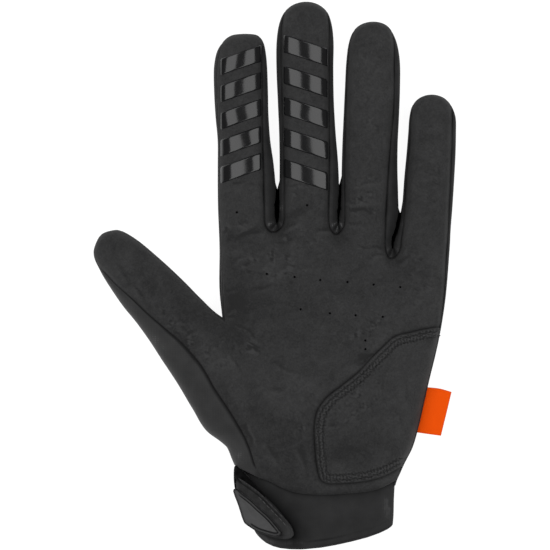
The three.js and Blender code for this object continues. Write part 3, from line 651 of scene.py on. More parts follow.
def gap_side(number, left_of_gap, y, low):
    """One side of a finger strip at a gap: straight by the table, then a quarter of an ellipse to
    the lowest point, then the straight line down the palm. With low, y is a share instead."""
    gap = GAP_SEAMS[number]
    if low:
        return palm_line(gap, y)
    end_y, left_x, right_x, low_x, low_y, mid_x, _ = gap
    rows = FINGERS[names[number if left_of_gap else number + 1]]
    straight = seam_across(rows, np.minimum(y, end_y), left_of_gap)
    side_x = left_x if left_of_gap else right_x
    t = np.clip((y - end_y) / (low_y - end_y), 0, 1)
    curve = low_x + (side_x - low_x) * np.sqrt(1 - t**2)
    line = low_x + (mid_x - low_x) * (y - low_y) / (SHARES_FROM - low_y)
    return np.where(y <= end_y, straight, np.where(y <= low_y, curve, line))


def crowded(count, share=0.8):
    """Places from 0 to 1, closer together towards both ends."""
    even = np.linspace(0, 1, count)
    return (1 - share) * even + share * (0.5 - 0.5 * np.cos(math.pi * even))


# Rows of the mesh: from each fingertip to SHARED_FROM, all the same from there to SHARES_FROM,
# then shares of the way to the cuff seam.
SHARED_FROM = 215.0
EVEN_FROM = 9.0  # px from the tip, where the rows become even
TIP_STEPS = 15
ROW_STEP = 1.55  # px
SHARED_STEP = 1.4
SHARE_STEPS = (16, 96)  # above and below the crotch of the thumb
CLOSE_ROWS = (0.0, 0.15, 0.5, 0.9)  # px above the lowest point of a gap
lowest = np.array([gap[4] for gap in GAP_SEAMS])
shared_rows = np.arange(SHARED_FROM, SHARES_FROM, SHARED_STEP)
shared_rows = np.unique([*shared_rows, SHARES_FROM, *np.subtract.outer(lowest, CLOSE_ROWS).ravel()])
crotch_share = float((CROTCH[1] - SHARES_FROM) / (seam_y(CROTCH[0]) - SHARES_FROM))
palm_shares = np.concatenate([
    np.linspace(0, crotch_share, SHARE_STEPS[0])[1:], np.linspace(crotch_share, 1, SHARE_STEPS[1])[1:],
])


def tip_rows(table, until, step):
    """Rows from a digit's tip on, closest together at the round end."""
    tip = table[0][0]
    rounded = tip + np.linspace(0, math.sqrt(EVEN_FROM), TIP_STEPS) ** 2
    return np.concatenate([rounded[:-1], np.arange(tip + EVEN_FROM, until - 0.5 * step, step)])


def rows_to(table, end, step=ROW_STEP):
    """Rows from a digit's tip to an end, which is the last of them."""
    return np.append(tip_rows(table, end, step), end)


def palm_strips(left_sides, right_sides, thumb_sides, thumb_foot, gap_rows, columns, step):
    """The plan grids of the four finger strips and the thumb strip, as (x, y) pairs. A finger's
    sides are functions that give x for the rows above SHARES_FROM, and for the shares below it.
    The thumb's give its coordinate across. Its strip ends at the places thumb_foot along its sides."""
    across = crowded(columns)
    grids, inner_line = [], None
    for number, rows in enumerate(FINGERS.values()):
        y = np.concatenate([tip_rows(rows, gap_rows[0], step), gap_rows])
        left = np.concatenate([left_sides[number](y, False), left_sides[number](palm_shares, True)])
        right = np.concatenate([right_sides[number](y, False), right_sides[number](palm_shares, True)])
        x = left[:, None] + (right - left)[:, None] * across
        row_y = np.repeat(y[:, None], columns, axis=1)
        low_x = x[len(y):]
        low_y = SHARES_FROM + (seam_y(low_x) - SHARES_FROM) * palm_shares[:, None]
        grids.append((x, np.concatenate([row_y, low_y])))
        if number == 0:
            below = palm_shares >= crotch_share - SAME
            inner_line = np.stack([low_x[below, 0], low_y[below, 0]], axis=-1)
    crotch, foot_end = thumb_foot
    along = rows_to(THUMB, crotch, step)
    left_x, left_y = thumb_plan(along, thumb_sides[0](along))
    right_x, right_y = thumb_plan(along, thumb_sides[1](along))
    foot = crotch + (foot_end - crotch) * np.linspace(0, 1, len(inner_line))[1:]
    foot_x, foot_y = thumb_plan(foot, thumb_sides[0](foot))
    left_x, left_y = np.append(left_x, foot_x), np.append(left_y, foot_y)
    right_x, right_y = np.append(right_x, inner_line[1:, 0]), np.append(right_y, inner_line[1:, 1])
    right_x[len(along) - 1], right_y[len(along) - 1] = inner_line[0]
    grids.append((
        left_x[:, None] + (right_x - left_x)[:, None] * across,
        left_y[:, None] + (right_y - left_y)[:, None] * across,
    ))
    return grids


def index_foot(share):
    """The left side of the index strip below SHARES_FROM: to the crotch, then along the thumb line."""
    start = table_at(FINGERS["index"], SHARES_FROM, root=True)[1]
    return np.interp(share, (0, crotch_share, 1), (start, CROTCH[0], THUMB_LINE_END))


def side_share(y):
    """How far the little finger's side has passed over into the hand's."""
    return risen(y, SIDE_BLEND)


def side_seam(y):
    """x of the seam down the little finger's side of the hand."""
    hand = table_at(HAND, y)[1] - np.interp(y, *np.transpose(SIDE_SEAM_INSET))
    finger = seam_across(FINGERS["little"], np.minimum(y, sum(SIDE_BLEND)), True)
    share = side_share(y)
    return finger * (1 - share) + hand * share


def side_foot(share):
    """x of the side seam at shares of the way from SHARES_FROM to the cuff seam, found in a few
    rounds from a first guess."""
    y = SHARES_FROM + FOOT_GUESS * share
    for _ in range(FOOT_ROUNDS):
        y = SHARES_FROM + (seam_y(side_seam(y)) - SHARES_FROM) * share
    return side_seam(y)


names = list(FINGERS)
THUMB_FOOT_ALONG = 284.0
# Where the seam, the widest edge and the back seam of the side strips meet at the thumb's crotch,
# along the thumb and down the index finger.
THUMB_CROTCH = (144.5, 139.0, 141.6)
INDEX_CROTCH = (322.0, 318.0, 321.0)
left_seams = [
    lambda y, low: index_foot(y) if low else seam_across(FINGERS["index"], y, False),
    *(partial(gap_side, number, False) for number in range(3)),
]
right_seams = [
    *(partial(gap_side, number, True) for number in range(3)),
    lambda y, low: side_foot(y) if low else side_seam(y),
]
thumb_seams = [partial(seam_across, THUMB, right=right) for right in (False, True)]
thumb_foot = (THUMB_CROTCH[0], THUMB_FOOT_ALONG)
palm_grids = palm_strips(
    left_seams, right_seams, thumb_seams, thumb_foot, shared_rows, COLUMNS, ROW_STEP
)


def grid_edge(grid, column, until=math.inf):
    """One edge column of a plan grid as a line, as far as a y."""
    x, y = grid[0][:, column], grid[1][:, column]
    return np.stack([x, y], -1)[y <= until]


def outline_parts(grids):
    """The sewn edges of the palm as lines: each finger's sides down to its gaps, the thumb's
    sides, and the edges along the side seam and the cuff seam."""
    tops = [CROTCH[1] + SAME, *(lowest + SAME), math.inf]
    sides = [*zip(tops, tops[1:]), (math.inf, CROTCH[1] + SAME)]
    parts = []
    for grid, (left_top, right_top) in zip(grids, sides):
        parts += [grid_edge(grid, 0, left_top), grid_edge(grid, -1, right_top)]
        parts.append(np.stack([grid[0][-1], grid[1][-1]], -1))
    return parts


palm_seams = outline_parts(palm_grids)
# The seams along the outside of the index finger and the inside of the thumb lie on the very edge,
# where they hardly show.
quiet_seams = [palm_seams[0], palm_seams[-2]]
thumb_seam_line = palm_seams[-3]

# The heel pad's outline, from the end of its top at the side seam to the end of its foot there.
HEEL_TOP = ((386.0, 342.6), (390.2, 338.4), (396, 335.2), (408, 332.4), (422, 329.2), (440.0, 326.6))
HEEL_FRONT = (
    (386.0, 342.6), (379, 349.4), (371, 357.2), (357, 372), (340, 385.5), (324, 399), (316.5, 411),
    (314.2, 423), (314.8, 446), (316.6, 464), (318.4, 473),
)
HEEL_FOOT = (
    (318.4, 473), (320.4, 478.2), (326, 481.6), (337.4, 482.1), (351.2, 481.4), (368, 479.2),
    (384, 474.4), (400, 466.4),
)


def run_along(points):
    """How far along a line each of its points lies."""
    return np.append(0, np.cumsum(np.hypot(*np.diff(points, axis=0).T)))


def straight_line(points, count):
    """Points at even steps along the straight pieces of a line."""
    points = np.asarray(points, float)
    run = run_along(points)
    at = np.linspace(0, run[-1], count)
    return np.stack([np.interp(at, run, part) for part in points.T], -1)


CURVE_STEPS = 40  # for each point of a smooth curve


def smooth_line(points, count):
    """Points at even steps along a smooth curve through plan points."""
    points = np.asarray(points, float)
    run = run_along(points)
    fine = table_at(np.column_stack([run, points]), np.linspace(0, run[-1], CURVE_STEPS * len(points)))
    return straight_line(fine.T, count)


HEEL_EDGE_STEPS = 260
heel_free_edge = smooth_line(HEEL_TOP[:0:-1] + HEEL_FRONT[:-1] + HEEL_FOOT, HEEL_EDGE_STEPS)


def turned_edge(x, y):
    """How far in mm the suede is drawn down at its seams, with a low ridge beside each where the
    turned-in layers lie, and how much painted shade darkens it along the seams, for the shade in their
    grooves."""
    away = line_distance(x, y, palm_seams)
    quiet = line_distance(x, y, quiet_seams) < away + NEAREST
    ridge, ridge_away, ridge_width = EDGE_RIDGE
    sunk = EDGE_TURN * bell(away / EDGE_WIDTH, 1.5) - ridge * bell((away - ridge_away) / ridge_width)
    # The thumb's seam runs out flat before the cuff.
    from_right = ease((THUMB_SEAM_RIGHT[0] - x) / THUMB_SEAM_RIGHT[1])
    left = (1 - from_right * risen(y, THUMB_SEAM_LOW)) * (1 - 0.35 * risen(y, SEAMS_LOW))
    left = left * np.where(quiet, 0.3, 1.0)
    # It is finer than the rest, and the cuff's seam is soft under the palm.
    on_thumb = line_distance(x, y, [thumb_seam_line]) < away + NEAREST
    at_cuff = risen(x, CUFF_SOFT) * risen(y - seam_y(x), CUFF_NEAR)
    finer = 1 - 0.5 * on_thumb * risen(y, THUMB_SEAM_FINE)
    sunk = sunk * np.maximum(left, 0.3) * finer * (1 - 0.6 * at_cuff)
    # The seam's line is darkened with painted shade, for the shade in its groove.
    uneven = SEAM_DARK + SEAM_VARIES * np.sin(y / 7 + x / 11)
    shown = left * np.where(on_thumb, THUMB_SEAM_DARK, uneven) * (1 - 0.72 * at_cuff)
    shown = shown * np.where(quiet, 0.5, 1.0)
    width = np.where(on_thumb, THUMB_SEAM_HALF, SEAM_HALF)
    painted_dark = shown * (0.93 * bell(away / width) + 0.07 * bell(away / 2.2))
    return sunk, np.maximum(painted_dark, 0.30 * at_cuff * bell(away / 1.5))


def palm_surface(x, y):
    """The palm panel's height in mm and its painted shade, both drawn in along the heel pad's edge too,
    where a painted shadow line runs.
    """
    sunk, painted_dark = turned_edge(x, y)
    pad_away = line_distance(x, y, [heel_free_edge])
    sunk = sunk + 0.6 * bell(pad_away / 1.0)
    # A painted shadow line along the heel pad's edge.
    pad_edge_shadow = (0.66 - 0.2 * risen(y, PAD_FOOT)) * bell(pad_away / 0.8)
    return palm_height(x, y) - sunk, np.maximum(painted_dark, pad_edge_shadow)


# The colour of dark seams and stitches, and of full painted shade and shadow.
SEAM_AND_SHADOW_COLOUR = (0.0014, 0.0014, 0.0015, 1.0)


def new_material(name):
    """A new material and its node tree."""
    made = bpy.data.materials.new(name)
    made.use_nodes = True
    return made, made.node_tree


def texture(tree, kind, direction="X", **settings):
    """A Noise or Wave texture on the piece's own coordinates, with its sockets set by name: its grey."""
    place = tree.nodes.new("ShaderNodeTexCoord")
    made = tree.nodes.new(f"ShaderNodeTex{kind}")
    if kind == "Wave":
        made.bands_direction = direction
    for title, value in settings.items():
        made.inputs[title.replace("_", " ")].default_value = value
    tree.links.new(place.outputs["Object"], made.inputs["Vector"])
    return made.outputs["Fac"]


def reckon(tree, operation, *terms):
    """One sum of a shade, whose terms are numbers or the outputs of other nodes."""
    made = tree.nodes.new("ShaderNodeMath")
    made.operation = operation
    for socket, term in zip(made.inputs, terms):
        if isinstance(term, float):
            socket.default_value = term
        else:
            tree.links.new(term, socket)
    return made.outputs[0]


def kept_shade(tree, title):
    """A shade that the piece keeps with its points, by its title: one for dark seams and painted shade, one
    for nap and painted light.
    """
    made = tree.nodes.new("ShaderNodeAttribute")
    made.attribute_name = title
    return made.outputs["Fac"]


def finished(made, tint, stops, relief, strength, depth, shine, painted_dark=True, **settings):
    """A material with its surface: the tint picks a colour between stops of place and colour, the
    relief raises it by a depth in metres, and other sockets are set by name. Where dark seams and
    painted shade darken the piece, the colour goes to that of a seam and the shine goes out."""
    tree = made.node_tree
    nodes, links = tree.nodes, tree.links
    shader = nodes["Principled BSDF"]
    ramp = nodes.new("ShaderNodeValToRGB")
    elements = ramp.color_ramp.elements
    for number, (position, colour) in enumerate(stops):
        element = elements[number] if number < len(elements) else elements.new(position)
        element.position = position
        element.color = (*colour, 1.0)
    links.new(tint, ramp.inputs["Fac"])
    if painted_dark:
        # Painted shade: where the piece keeps it, the colour goes to that of a seam and the shine goes out.
        seams_and_painted_shade = kept_shade(tree, "seams_and_painted_shade")
        darken = nodes.new("ShaderNodeMix")
        darken.data_type = "RGBA"
        darken.inputs["B"].default_value = SEAM_AND_SHADOW_COLOUR
        links.new(seams_and_painted_shade, darken.inputs["Factor"])
        links.new(ramp.outputs["Color"], darken.inputs["A"])
        links.new(darken.outputs["Result"], shader.inputs["Base Color"])
        links.new(reckon(tree, "MULTIPLY_ADD", seams_and_painted_shade, -shine, shine), shader.inputs["Specular IOR Level"])
    else:
        links.new(ramp.outputs["Color"], shader.inputs["Base Color"])
        shader.inputs["Specular IOR Level"].default_value = shine
    bump = nodes.new("ShaderNodeBump")
    bump.inputs["Strength"].default_value = strength
    bump.inputs["Distance"].default_value = depth
    links.new(relief, bump.inputs["Height"])
    links.new(bump.outputs["Normal"], shader.inputs["Normal"])
    for title, value in settings.items():
        shader.inputs[title.replace("_", " ")].default_value = value
    return made


def suede_material(name, dark, light):
    """Napped microfibre: mottled in three sizes of grain and by its nap and painted light and shade, matt,
    with a little sheen.
    """
    made, tree = new_material(name)
    coarse = texture(tree, "Noise", Scale=620.0, Detail=4.0, Roughness=0.7, Distortion=1.2)
    fine = texture(tree, "Noise", Scale=1500.0, Detail=3.0)
    broad = texture(tree, "Noise", Scale=90.0, Detail=5.0, Distortion=2.4)
    grain = reckon(tree, "MULTIPLY_ADD", coarse, 0.65, reckon(tree, "MULTIPLY", fine, 0.35))
    mottled = reckon(tree, "MULTIPLY_ADD", broad, 0.30, grain)
    tint = reckon(tree, "ADD", mottled, kept_shade(tree, "nap_and_painted_light"))
    return finished(
        made, tint, ((0.43, dark), (0.87, light)), grain, strength=0.7, depth=0.00025, shine=0.25,
        Roughness=0.95, Sheen_Weight=0.05, Sheen_Roughness=0.6,
    )


SUEDE_DARK = (0.0125, 0.0125, 0.0128)
SUEDE_LIGHT = (0.0342, 0.0342, 0.0347)
palm_suede = suede_material("palm_suede", SUEDE_DARK, SUEDE_LIGHT)
palm_pieces, palm_painted_dark, palm_nap_and_light = [], [], []
# Each strip of the palm with its painted shade along seams and the heel pad, and its nap with painted light
# and shade.
for x, y in palm_grids:
    z, painted_dark = palm_surface(x, y)
    palm_pieces.append(solid_place(x, y, z))
    palm_painted_dark.append(painted_dark)
    palm_nap_and_light.append(nap_and_painted_light_at(x, y))
palm = cloth_object("palm_suede_panel", palm_pieces, seams_and_painted_shade=palm_painted_dark, nap_and_painted_light=palm_nap_and_light)
thicken(palm, SUEDE_THICKNESS)
# Small holes punched through the suede of the palm for air.
HOLES = (
    (267, 274), (294.5, 277), (320, 280), (347, 282), (373, 284.5), (399.5, 287), (300.5, 309),
    (329.5, 313), (355, 315), (382, 316.5), (364.6, 340), (364.6, 348.5), (237, 212.6), (307, 205.6),
)
HOLE_RADIUS = 1.12  # px
HOLE_SIDES = 12
PUNCH_REACH = (1.0, 1.0, -2.5, -2.5)  # mm from the suede, for the rings of a punch from top to bottom
PUNCH_RINGS = (0.0, 1.0, 1.0, 0.0)  # their radii, as shares of the hole's
turn = np.linspace(0, math.tau, HOLE_SIDES, endpoint=False)
ring = np.array(PUNCH_RINGS)[:, None] * HOLE_RADIUS
punches = []
for hole_x, hole_y in HOLES:
    height = float(palm_height(hole_x, hole_y)) + np.array(PUNCH_REACH)[:, None]
    punches.append(solid_place(hole_x + ring * np.cos(turn), hole_y + ring * np.sin(turn), height))
punch = cloth_object("punches", punches, turned=True, closed=True)
cut = palm.modifiers.new("holes", "BOOLEAN")
cut.operation = "DIFFERENCE"
cut.solver = "EXACT"
cut.object = punch
palm.data = bpy.data.meshes.new_from_object(palm.evaluated_get(bpy.context.evaluated_depsgraph_get()))
palm.modifiers.clear()
bpy.data.objects.remove(punch)
place_piece(palm, palm_suede, "palm_suede", "palm_panel")

# THE SIDE STRIPS
# Narrow strips of thin stretch knit between the palm and the back of each digit. Two strips run
# round the foot of a gap, and their lower half makes the floor of the slot between two fingers.
BACK_INSET = 1.8  # px that the back seam lies inside the widest edge
BACK_SEAM_HEIGHT = 4.4  # mm
TIP_RUN = 20.0  # px from the tip over which a strip comes to its full width underneath
STRIP_STEPS = 11
FOOT_STEPS = 26  # round each half of a gap's foot
STRIP_ENDS = 0.35  # px, the width at which a strip's ends are left off
GATHER = 0.85  # mm, the depth of the gathers where a strip turns round the foot of a gap
GATHER_COUNTS = (1.35, 1.75)  # on the left and on the right of the foot
GATHER_PHASE = 0.9
GATHER_HIGHLIGHT = 0.40  # how much painted highlight the gathers get on top
SLACK = ((0.42, 2.1), (0.26, 1.15))  # px and px per radian: the wavy rim of a slot between fingers
SLOT_LOOSE = (4, 12)  # px from the crossing, the span over which that rim gets loose
SLOT_TIGHT = (-7, 7)  # px from the end of the straight sides, the span over which it gets tight
SLOT_PAINTED_SHADE = (-6, 12)  # px from the crossing, the span over which painted shade darkens the slot
KNIT_THICKNESS = 0.0006  # metres
# Where the strip's lower edge crosses under each gap: the place, and how far before it the two
# sides start to close in
GAP_CROSSINGS = ((188.6, 277.3, 15.0), (184.2, 339.6, 15.0), (212.8, 400.8, 12.0))
GAP_FEET = ((276.8, 223.0), (338.1, 224.0), (392.3, 248.5))


def digit_side(rows, at, right):
    """A digit's seam, edge and back seam at places along it: across for each, then the heights of
    the edge and the back seam. The three meet at the tip."""
    left_edge, _, _, right_edge, low, high = table_at(rows, at, root=True)
    seam, edge = seam_across(rows, at, right), right_edge if right else left_edge
    sign = -1 if right else 1
    grown = ease((at - rows[0][0] - TIP_BARE) / TIP_RUN)
    back = edge + sign * BACK_INSET * grown
    edge_z = (low + high) / 2 - EDGE_TURN * (1 - grown)
    back_z = edge_z + (BACK_SEAM_HEIGHT - edge_z) * grown
    return seam, edge, back, edge_z, back_z


def side_sheet(seam, edge, back, edge_z, back_z, slot, gathers, rim, painted_light, steps):
    """A strip through three lines: from the seam it follows the palm's form out to the widest
    edge, and from there a quarter of an ellipse leads under to the back seam. Slot is 1 where the
    strip lies in the slot between two fingers, which is painted with shade, gathers is how far it
    puckers up, with a painted highlight on top and painted shade between, rim is how much painted
    shade darkens its widest edge and the part under it, and painted_light is added to its nap."""
    t = np.sin(np.linspace(0, math.pi / 2, steps)) ** 0.85
    x, y = np.moveaxis(seam[:, None] + (edge - seam)[:, None] * t[:, None], -1, 0)
    sunk, painted_dark = turned_edge(x, y)
    z = np.maximum(palm_height(x, y) - sunk, edge_z[:, None]) + gathers[:, None] * np.sin(math.pi * t)
    z[:, -1] = edge_z
    # Painted shade on the widest edge, in the slot and between the gathers, less on their tops.
    painted_dark = np.maximum(painted_dark, rim * t**8 + slot[:, None] * 0.35 * t**6)
    lifted = gathers[:, None] / GATHER * np.sin(math.pi * t) ** 0.7
    painted_dark = np.maximum(painted_dark * (1 - 0.55 * np.clip(lifted, 0, 1)), 0.5 * np.clip(-lifted, 0, 1))
    # A painted highlight on the tops of the gathers, with the nap and painted light.
    light = GATHER_HIGHLIGHT * ease(lifted + 0.3 * (gathers[:, None] != 0)) + nap_and_painted_light_at(x, y) + painted_light
    angle = np.linspace(0, math.pi / 2, steps)[1:]
    under = edge[:, None] + (back - edge)[:, None] * (1 - np.cos(angle))[:, None]
    under_z = edge_z[:, None] + (back_z - edge_z)[:, None] * np.sin(angle)
    # Painted shade under the widest edge and in the slot.
    under_painted_shade = np.maximum(
        rim * (1 + 0.6 * np.sin(angle)), slot[:, None] * (0.5 + 0.5 * np.minimum(angle * 3, 1))
    )
    x, y = np.hstack([x, under[..., 0]]), np.hstack([y, under[..., 1]])
    light = np.hstack([light, np.full(under_z.shape, painted_light)])
    return solid_place(x, y, np.hstack([z, under_z])), np.hstack([painted_dark, under_painted_shade]), light


def strip_object(
    name, seam, edge, back, edge_z, back_z, slot=0.0, gathers=0.0, rim=0.08, painted_light=0.0, steps=STRIP_STEPS
):
    """A side strip as an object, without its ends where the three lines run together."""
    wide = np.hypot(*(edge - seam).T) + np.hypot(*(back - edge).T) > STRIP_ENDS
    slot, gathers = (np.broadcast_to(part, len(seam)) for part in (slot, gathers))
    lines = [part[wide] for part in (seam, edge, back, edge_z, back_z, slot, gathers)]
    sheet, painted_dark, light = side_sheet(*lines, rim, painted_light, steps)
    made = cloth_object(name, [sheet], seams_and_painted_shade=[painted_dark], nap_and_painted_light=[light])
    thicken(made, KNIT_THICKNESS)
    return made


def knit_material(name, dark, light, roughness, sheen, pitch=0.0011, peak=1.7):
    """A fine knit: rows of small loops from two crossed waves, slightly uneven in shade, smooth
    enough to shine a little. Where its nap and painted light are high it goes on to a peak above the light
    shade."""
    made, tree = new_material(name)
    loops = texture(tree, "Wave", Scale=1 / pitch / 3.2, Distortion=1.2, Detail=2.0, Detail_Scale=3.0)
    rows = texture(tree, "Wave", "Y", Scale=1 / pitch / 2.4, Distortion=0.8)
    weave = reckon(tree, "MULTIPLY", loops, rows)
    cloudy = reckon(tree, "MULTIPLY_ADD", weave, 0.15, texture(tree, "Noise", Scale=160.0, Detail=5.0))
    tint = reckon(tree, "ADD", cloudy, kept_shade(tree, "nap_and_painted_light"))
    stops = ((0.30, dark), (0.90, light), (1.0, [peak * part for part in light]))
    return finished(
        made, tint, stops, weave, strength=0.25, depth=0.00012, shine=0.12,
        Roughness=roughness, Sheen_Weight=sheen, Sheen_Roughness=0.45,
    )


side_knit = knit_material(
    "side_knit", (0.0150, 0.0150, 0.0153), (0.0275, 0.0275, 0.0280),
    roughness=0.8, sheen=0.04, pitch=0.0009, peak=3.2,
)


def side_lines(rows, at, right):
    """The three lines of a digit's side as plan points, and the heights of the last two."""
    *lines, edge_z, back_z = digit_side(rows, at, right)
    if rows is THUMB:
        lines = [thumb_plan(at, across) for across in lines]
    else:
        lines = [(across, at) for across in lines]
    return *(np.stack(line, -1) for line in lines), edge_z, back_z


def joined(*parts):
    """Runs of the three lines one after another."""
    return [np.concatenate(pieces) for pieces in zip(*parts)]


def drawn_to(at, end):
    """Places along a digit, drawn on or back past its tip so that the last one comes at an end of
    its own."""
    return at + (end - at[-1]) * ease((at - at[0] - TIP_BARE) / (at[-1] - at[0] - TIP_BARE))


def fourchette(number):
    """The strip between two fingers: down the right side of one, round the foot of the gap and up
    the left side of the next. Underneath it crosses the gap nearer the fingertips, which slopes
    the floor of the slot."""
    end_y, left_x, right_x, low_x, low_y, _, _ = GAP_SEAMS[number]
    cross_y, cross_x, bend = GAP_CROSSINGS[number]
    foot_x, foot_y = GAP_FEET[number]
    sides = []
    for name, right in ((names[number], True), (names[number + 1], False)):
        rows = FINGERS[name]
        at = rows_to(rows, end_y)
        seam, edge, back, edge_z, back_z = side_lines(rows, at, right)
        _, _, back, _, back_z = side_lines(rows, drawn_to(at, cross_y - bend), right)
        # The slot's rim hangs loose, and so sways, between the crossing and the foot.
        loose = risen(at - cross_y, SLOT_LOOSE) * (1 - risen(at - end_y, SLOT_TIGHT))
        for sway, run in SLACK:
            edge[:, 0] += loose * sway * np.sin(at / run + 2.3 * number + 1.7 * right)
        # Painted shade in the slot between the fingers, from the crossing on.
        dark = risen(at - cross_y, SLOT_PAINTED_SHADE)
        sides.append([seam, edge, back, edge_z, back_z, dark, np.zeros(len(at))])
    left_part, right_part = sides
    t = np.linspace(0, 1, FOOT_STEPS)[1:]
    curves = []
    c, s = np.cos(t * math.pi / 2), np.sin(t * math.pi / 2)
    for side, start, gather_turns in (
        (left_x, left_part, -GATHER_COUNTS[0]), (right_x, right_part, GATHER_COUNTS[1]),
    ):
        edge_x, edge_y = start[1][-1]
        seam = np.stack([low_x + (side - low_x) * c, end_y + (low_y - end_y) * s], -1)
        edge = np.stack([foot_x + (edge_x - foot_x) * c, edge_y + (foot_y - edge_y) * s], -1)
        back = start[2][-1:] * (1 - s)[:, None] + np.array([[cross_x, cross_y]]) * s[:, None]
        edge_z, back_z = np.full(len(t), start[3][-1]), np.full(len(t), BACK_SEAM_HEIGHT + 0.2)
        gathers = GATHER * np.sin(GATHER_PHASE + math.tau * gather_turns * (1 - t)) * s
        curves.append([seam, edge, back, edge_z, back_z, np.ones(len(t)), gathers])
    down = joined(left_part, curves[0])
    up = [part[::-1] for part in joined(right_part, [part[:-1] for part in curves[1]])]
    # Its rim gets heavy painted shade.
    return strip_object(f"fourchette_{number + 1}", *joined(down, up), rim=0.5)


for number in range(3):
    node = f"fourchette_{names[number]}_{names[number + 1]}"
    place_piece(fourchette(number), side_knit, "side_knit", node)

# The strip inside the thumb, as far as the thumb's crotch.
thumb_rows = rows_to(THUMB, THUMB_CROTCH[1])
seam = side_lines(THUMB, drawn_to(thumb_rows, THUMB_CROTCH[0]), True)[0]
_, edge, _, edge_z, _ = side_lines(THUMB, thumb_rows, True)
_, _, back, _, back_z = side_lines(THUMB, drawn_to(thumb_rows, THUMB_CROTCH[2]), True)
# Painted light along its edge, and no painted shade on its rim.
thumb_inner = strip_object("thumb_inner_strip", seam, edge, back, edge_z, back_z, rim=0.0, painted_light=0.14)
place_piece(thumb_inner, side_knit, "side_knit", "thumb_inner_side")
crotch_edge, crotch_back, crotch_z = edge[-1], back[-1], edge_z[-1]

# The strip outside the index finger, which leans over to meet it there.
LEAN_FROM = 236.0
index_rows = rows_to(FINGERS["index"], INDEX_CROTCH[1])
_, edge, _, edge_z, _ = side_lines(FINGERS["index"], index_rows, False)
seam_rows = drawn_to(index_rows, INDEX_CROTCH[0])
foot_start = table_at(FINGERS["index"], SHARES_FROM, root=True)[1]
foot_x = np.interp(seam_rows, (SHARES_FROM, INDEX_CROTCH[0]), (foot_start, CROTCH[0]))
seam_x = np.where(seam_rows <= SHARES_FROM, seam_across(FINGERS["index"], seam_rows, False), foot_x)
seam = np.stack([seam_x, seam_rows], -1)
index_back_rows = drawn_to(index_rows, INDEX_CROTCH[2])
_, _, index_back, _, back_z = side_lines(FINGERS["index"], index_back_rows, False)
lean = risen(index_rows, (LEAN_FROM, INDEX_CROTCH[1] - LEAN_FROM))
edge[:, 0] += (crotch_edge[0] - edge[-1, 0]) * lean
index_back[:, 0] += (crotch_back[0] - index_back[-1, 0]) * lean
edge_z = edge_z * (1 - lean) + crotch_z * lean
index_outer_lines = [part[::-1] for part in (seam, edge, index_back, edge_z, back_z)]
# Painted light along its edge, and no painted shade on its rim.
index_outer = strip_object("index_outer_strip", *index_outer_lines, rim=0.0, painted_light=0.18)
place_piece(index_outer, side_knit, "side_knit", "index_outer_side")

# The strip from the little finger's tip down the side of the hand.
HAND_EDGE_END = 485.0  # y where the hand's outer edge goes under the cuff
HEEL_RISE = 1.6  # mm that the back seam rises towards the heel
HEEL_RISE_SPAN = (260, 200)  # of y


def heel_rise(y):
    """How much higher in mm the back seam lies towards the heel."""
    return HEEL_RISE * risen(y, HEEL_RISE_SPAN)


little_rows = rows_to(FINGERS["little"], HAND_EDGE_END)
_, edge_x, _, edge_z, back_z = digit_side(FINGERS["little"], little_rows, True)
hand_edge = table_at(HAND, little_rows)
share = side_share(little_rows)
edge_x = edge_x * (1 - share) + hand_edge[1] * share
edge_z = edge_z * (1 - share) + (hand_edge[2] + hand_edge[3]) / 2 * share
inset = BACK_INSET * ease((little_rows - little_rows[0] - TIP_BARE) / TIP_RUN)
little_side = [
    np.stack([side_seam(little_rows), little_rows], -1),
    np.stack([edge_x, little_rows], -1),
    np.stack([edge_x - inset, little_rows], -1),
    edge_z,
    back_z + heel_rise(little_rows),
]
little_outer = strip_object("little_outer_strip", *little_side)
place_piece(little_outer, side_knit, "side_knit", "little_outer_side")

# THE THUMB'S OUTER PANEL
# A wide panel of smooth stretch knit from the thumb's tip down the outside of the thumb to the
# cuff. It is sewn to the suede along the curved thumb seam and shines slightly where it turns.
THUMB_FOOT_SHORT = 26.0  # px that the outer edge stops before the seam does
SHORT_FROM = 200.0  # px along the thumb from which it draws back
THUMB_PANEL_STEPS = 19
outer_rows = rows_to(THUMB, THUMB_FOOT_ALONG)
seam, _, _, edge_z, back_z = side_lines(THUMB, outer_rows, False)
# At the foot the outer edge stops short, on the cuff seam.
shorten = risen(outer_rows, (SHORT_FROM, THUMB_FOOT_ALONG - SHORT_FROM)) * THUMB_FOOT_SHORT
_, short_edge, short_back, _, _ = side_lines(THUMB, outer_rows - shorten, False)
thumb_outer_lines = [part[::-1] for part in (seam, short_edge, short_back, edge_z, back_z)]
thumb_outer = strip_object("thumb_outer_knit", *thumb_outer_lines, steps=THUMB_PANEL_STEPS)
back_knit = knit_material(
    "back_knit", (0.0235, 0.0235, 0.0238), (0.0370, 0.0370, 0.0374), roughness=0.7, sheen=0.12
)
place_piece(thumb_outer, back_knit, "back_knit", "thumb_outer_panel")

# THE BACK PANEL
# One panel of the same knit under the whole hand. It lies flat, and turns up at its edges to meet
# the side strips.
REST_HEIGHT = 0.2  # mm over the table
BACK_CLEAR = 0.1  # mm over the hand's lowest height, where that is more
BACK_TURN = 7.0  # mm over which an edge turns up
BACK_BEND = 2.2  # the power of its curve
BACK_COLUMNS = 15
BACK_STEP = 2.8
BACK_SHARED_FROM = 171.0
BACK_CLOSE_ROWS = (0.0, 0.4, 1.8)  # px above a crossing
BACK_LEAD = 2.0  # px below the palm's crotch where the back's thumb begins
crossings = np.array([gap[0] for gap in GAP_CROSSINGS])
back_rows = np.arange(BACK_SHARED_FROM, SHARES_FROM, BACK_STEP)
back_rows = np.unique([*back_rows, SHARES_FROM, *np.subtract.outer(crossings, BACK_CLOSE_ROWS).ravel()])


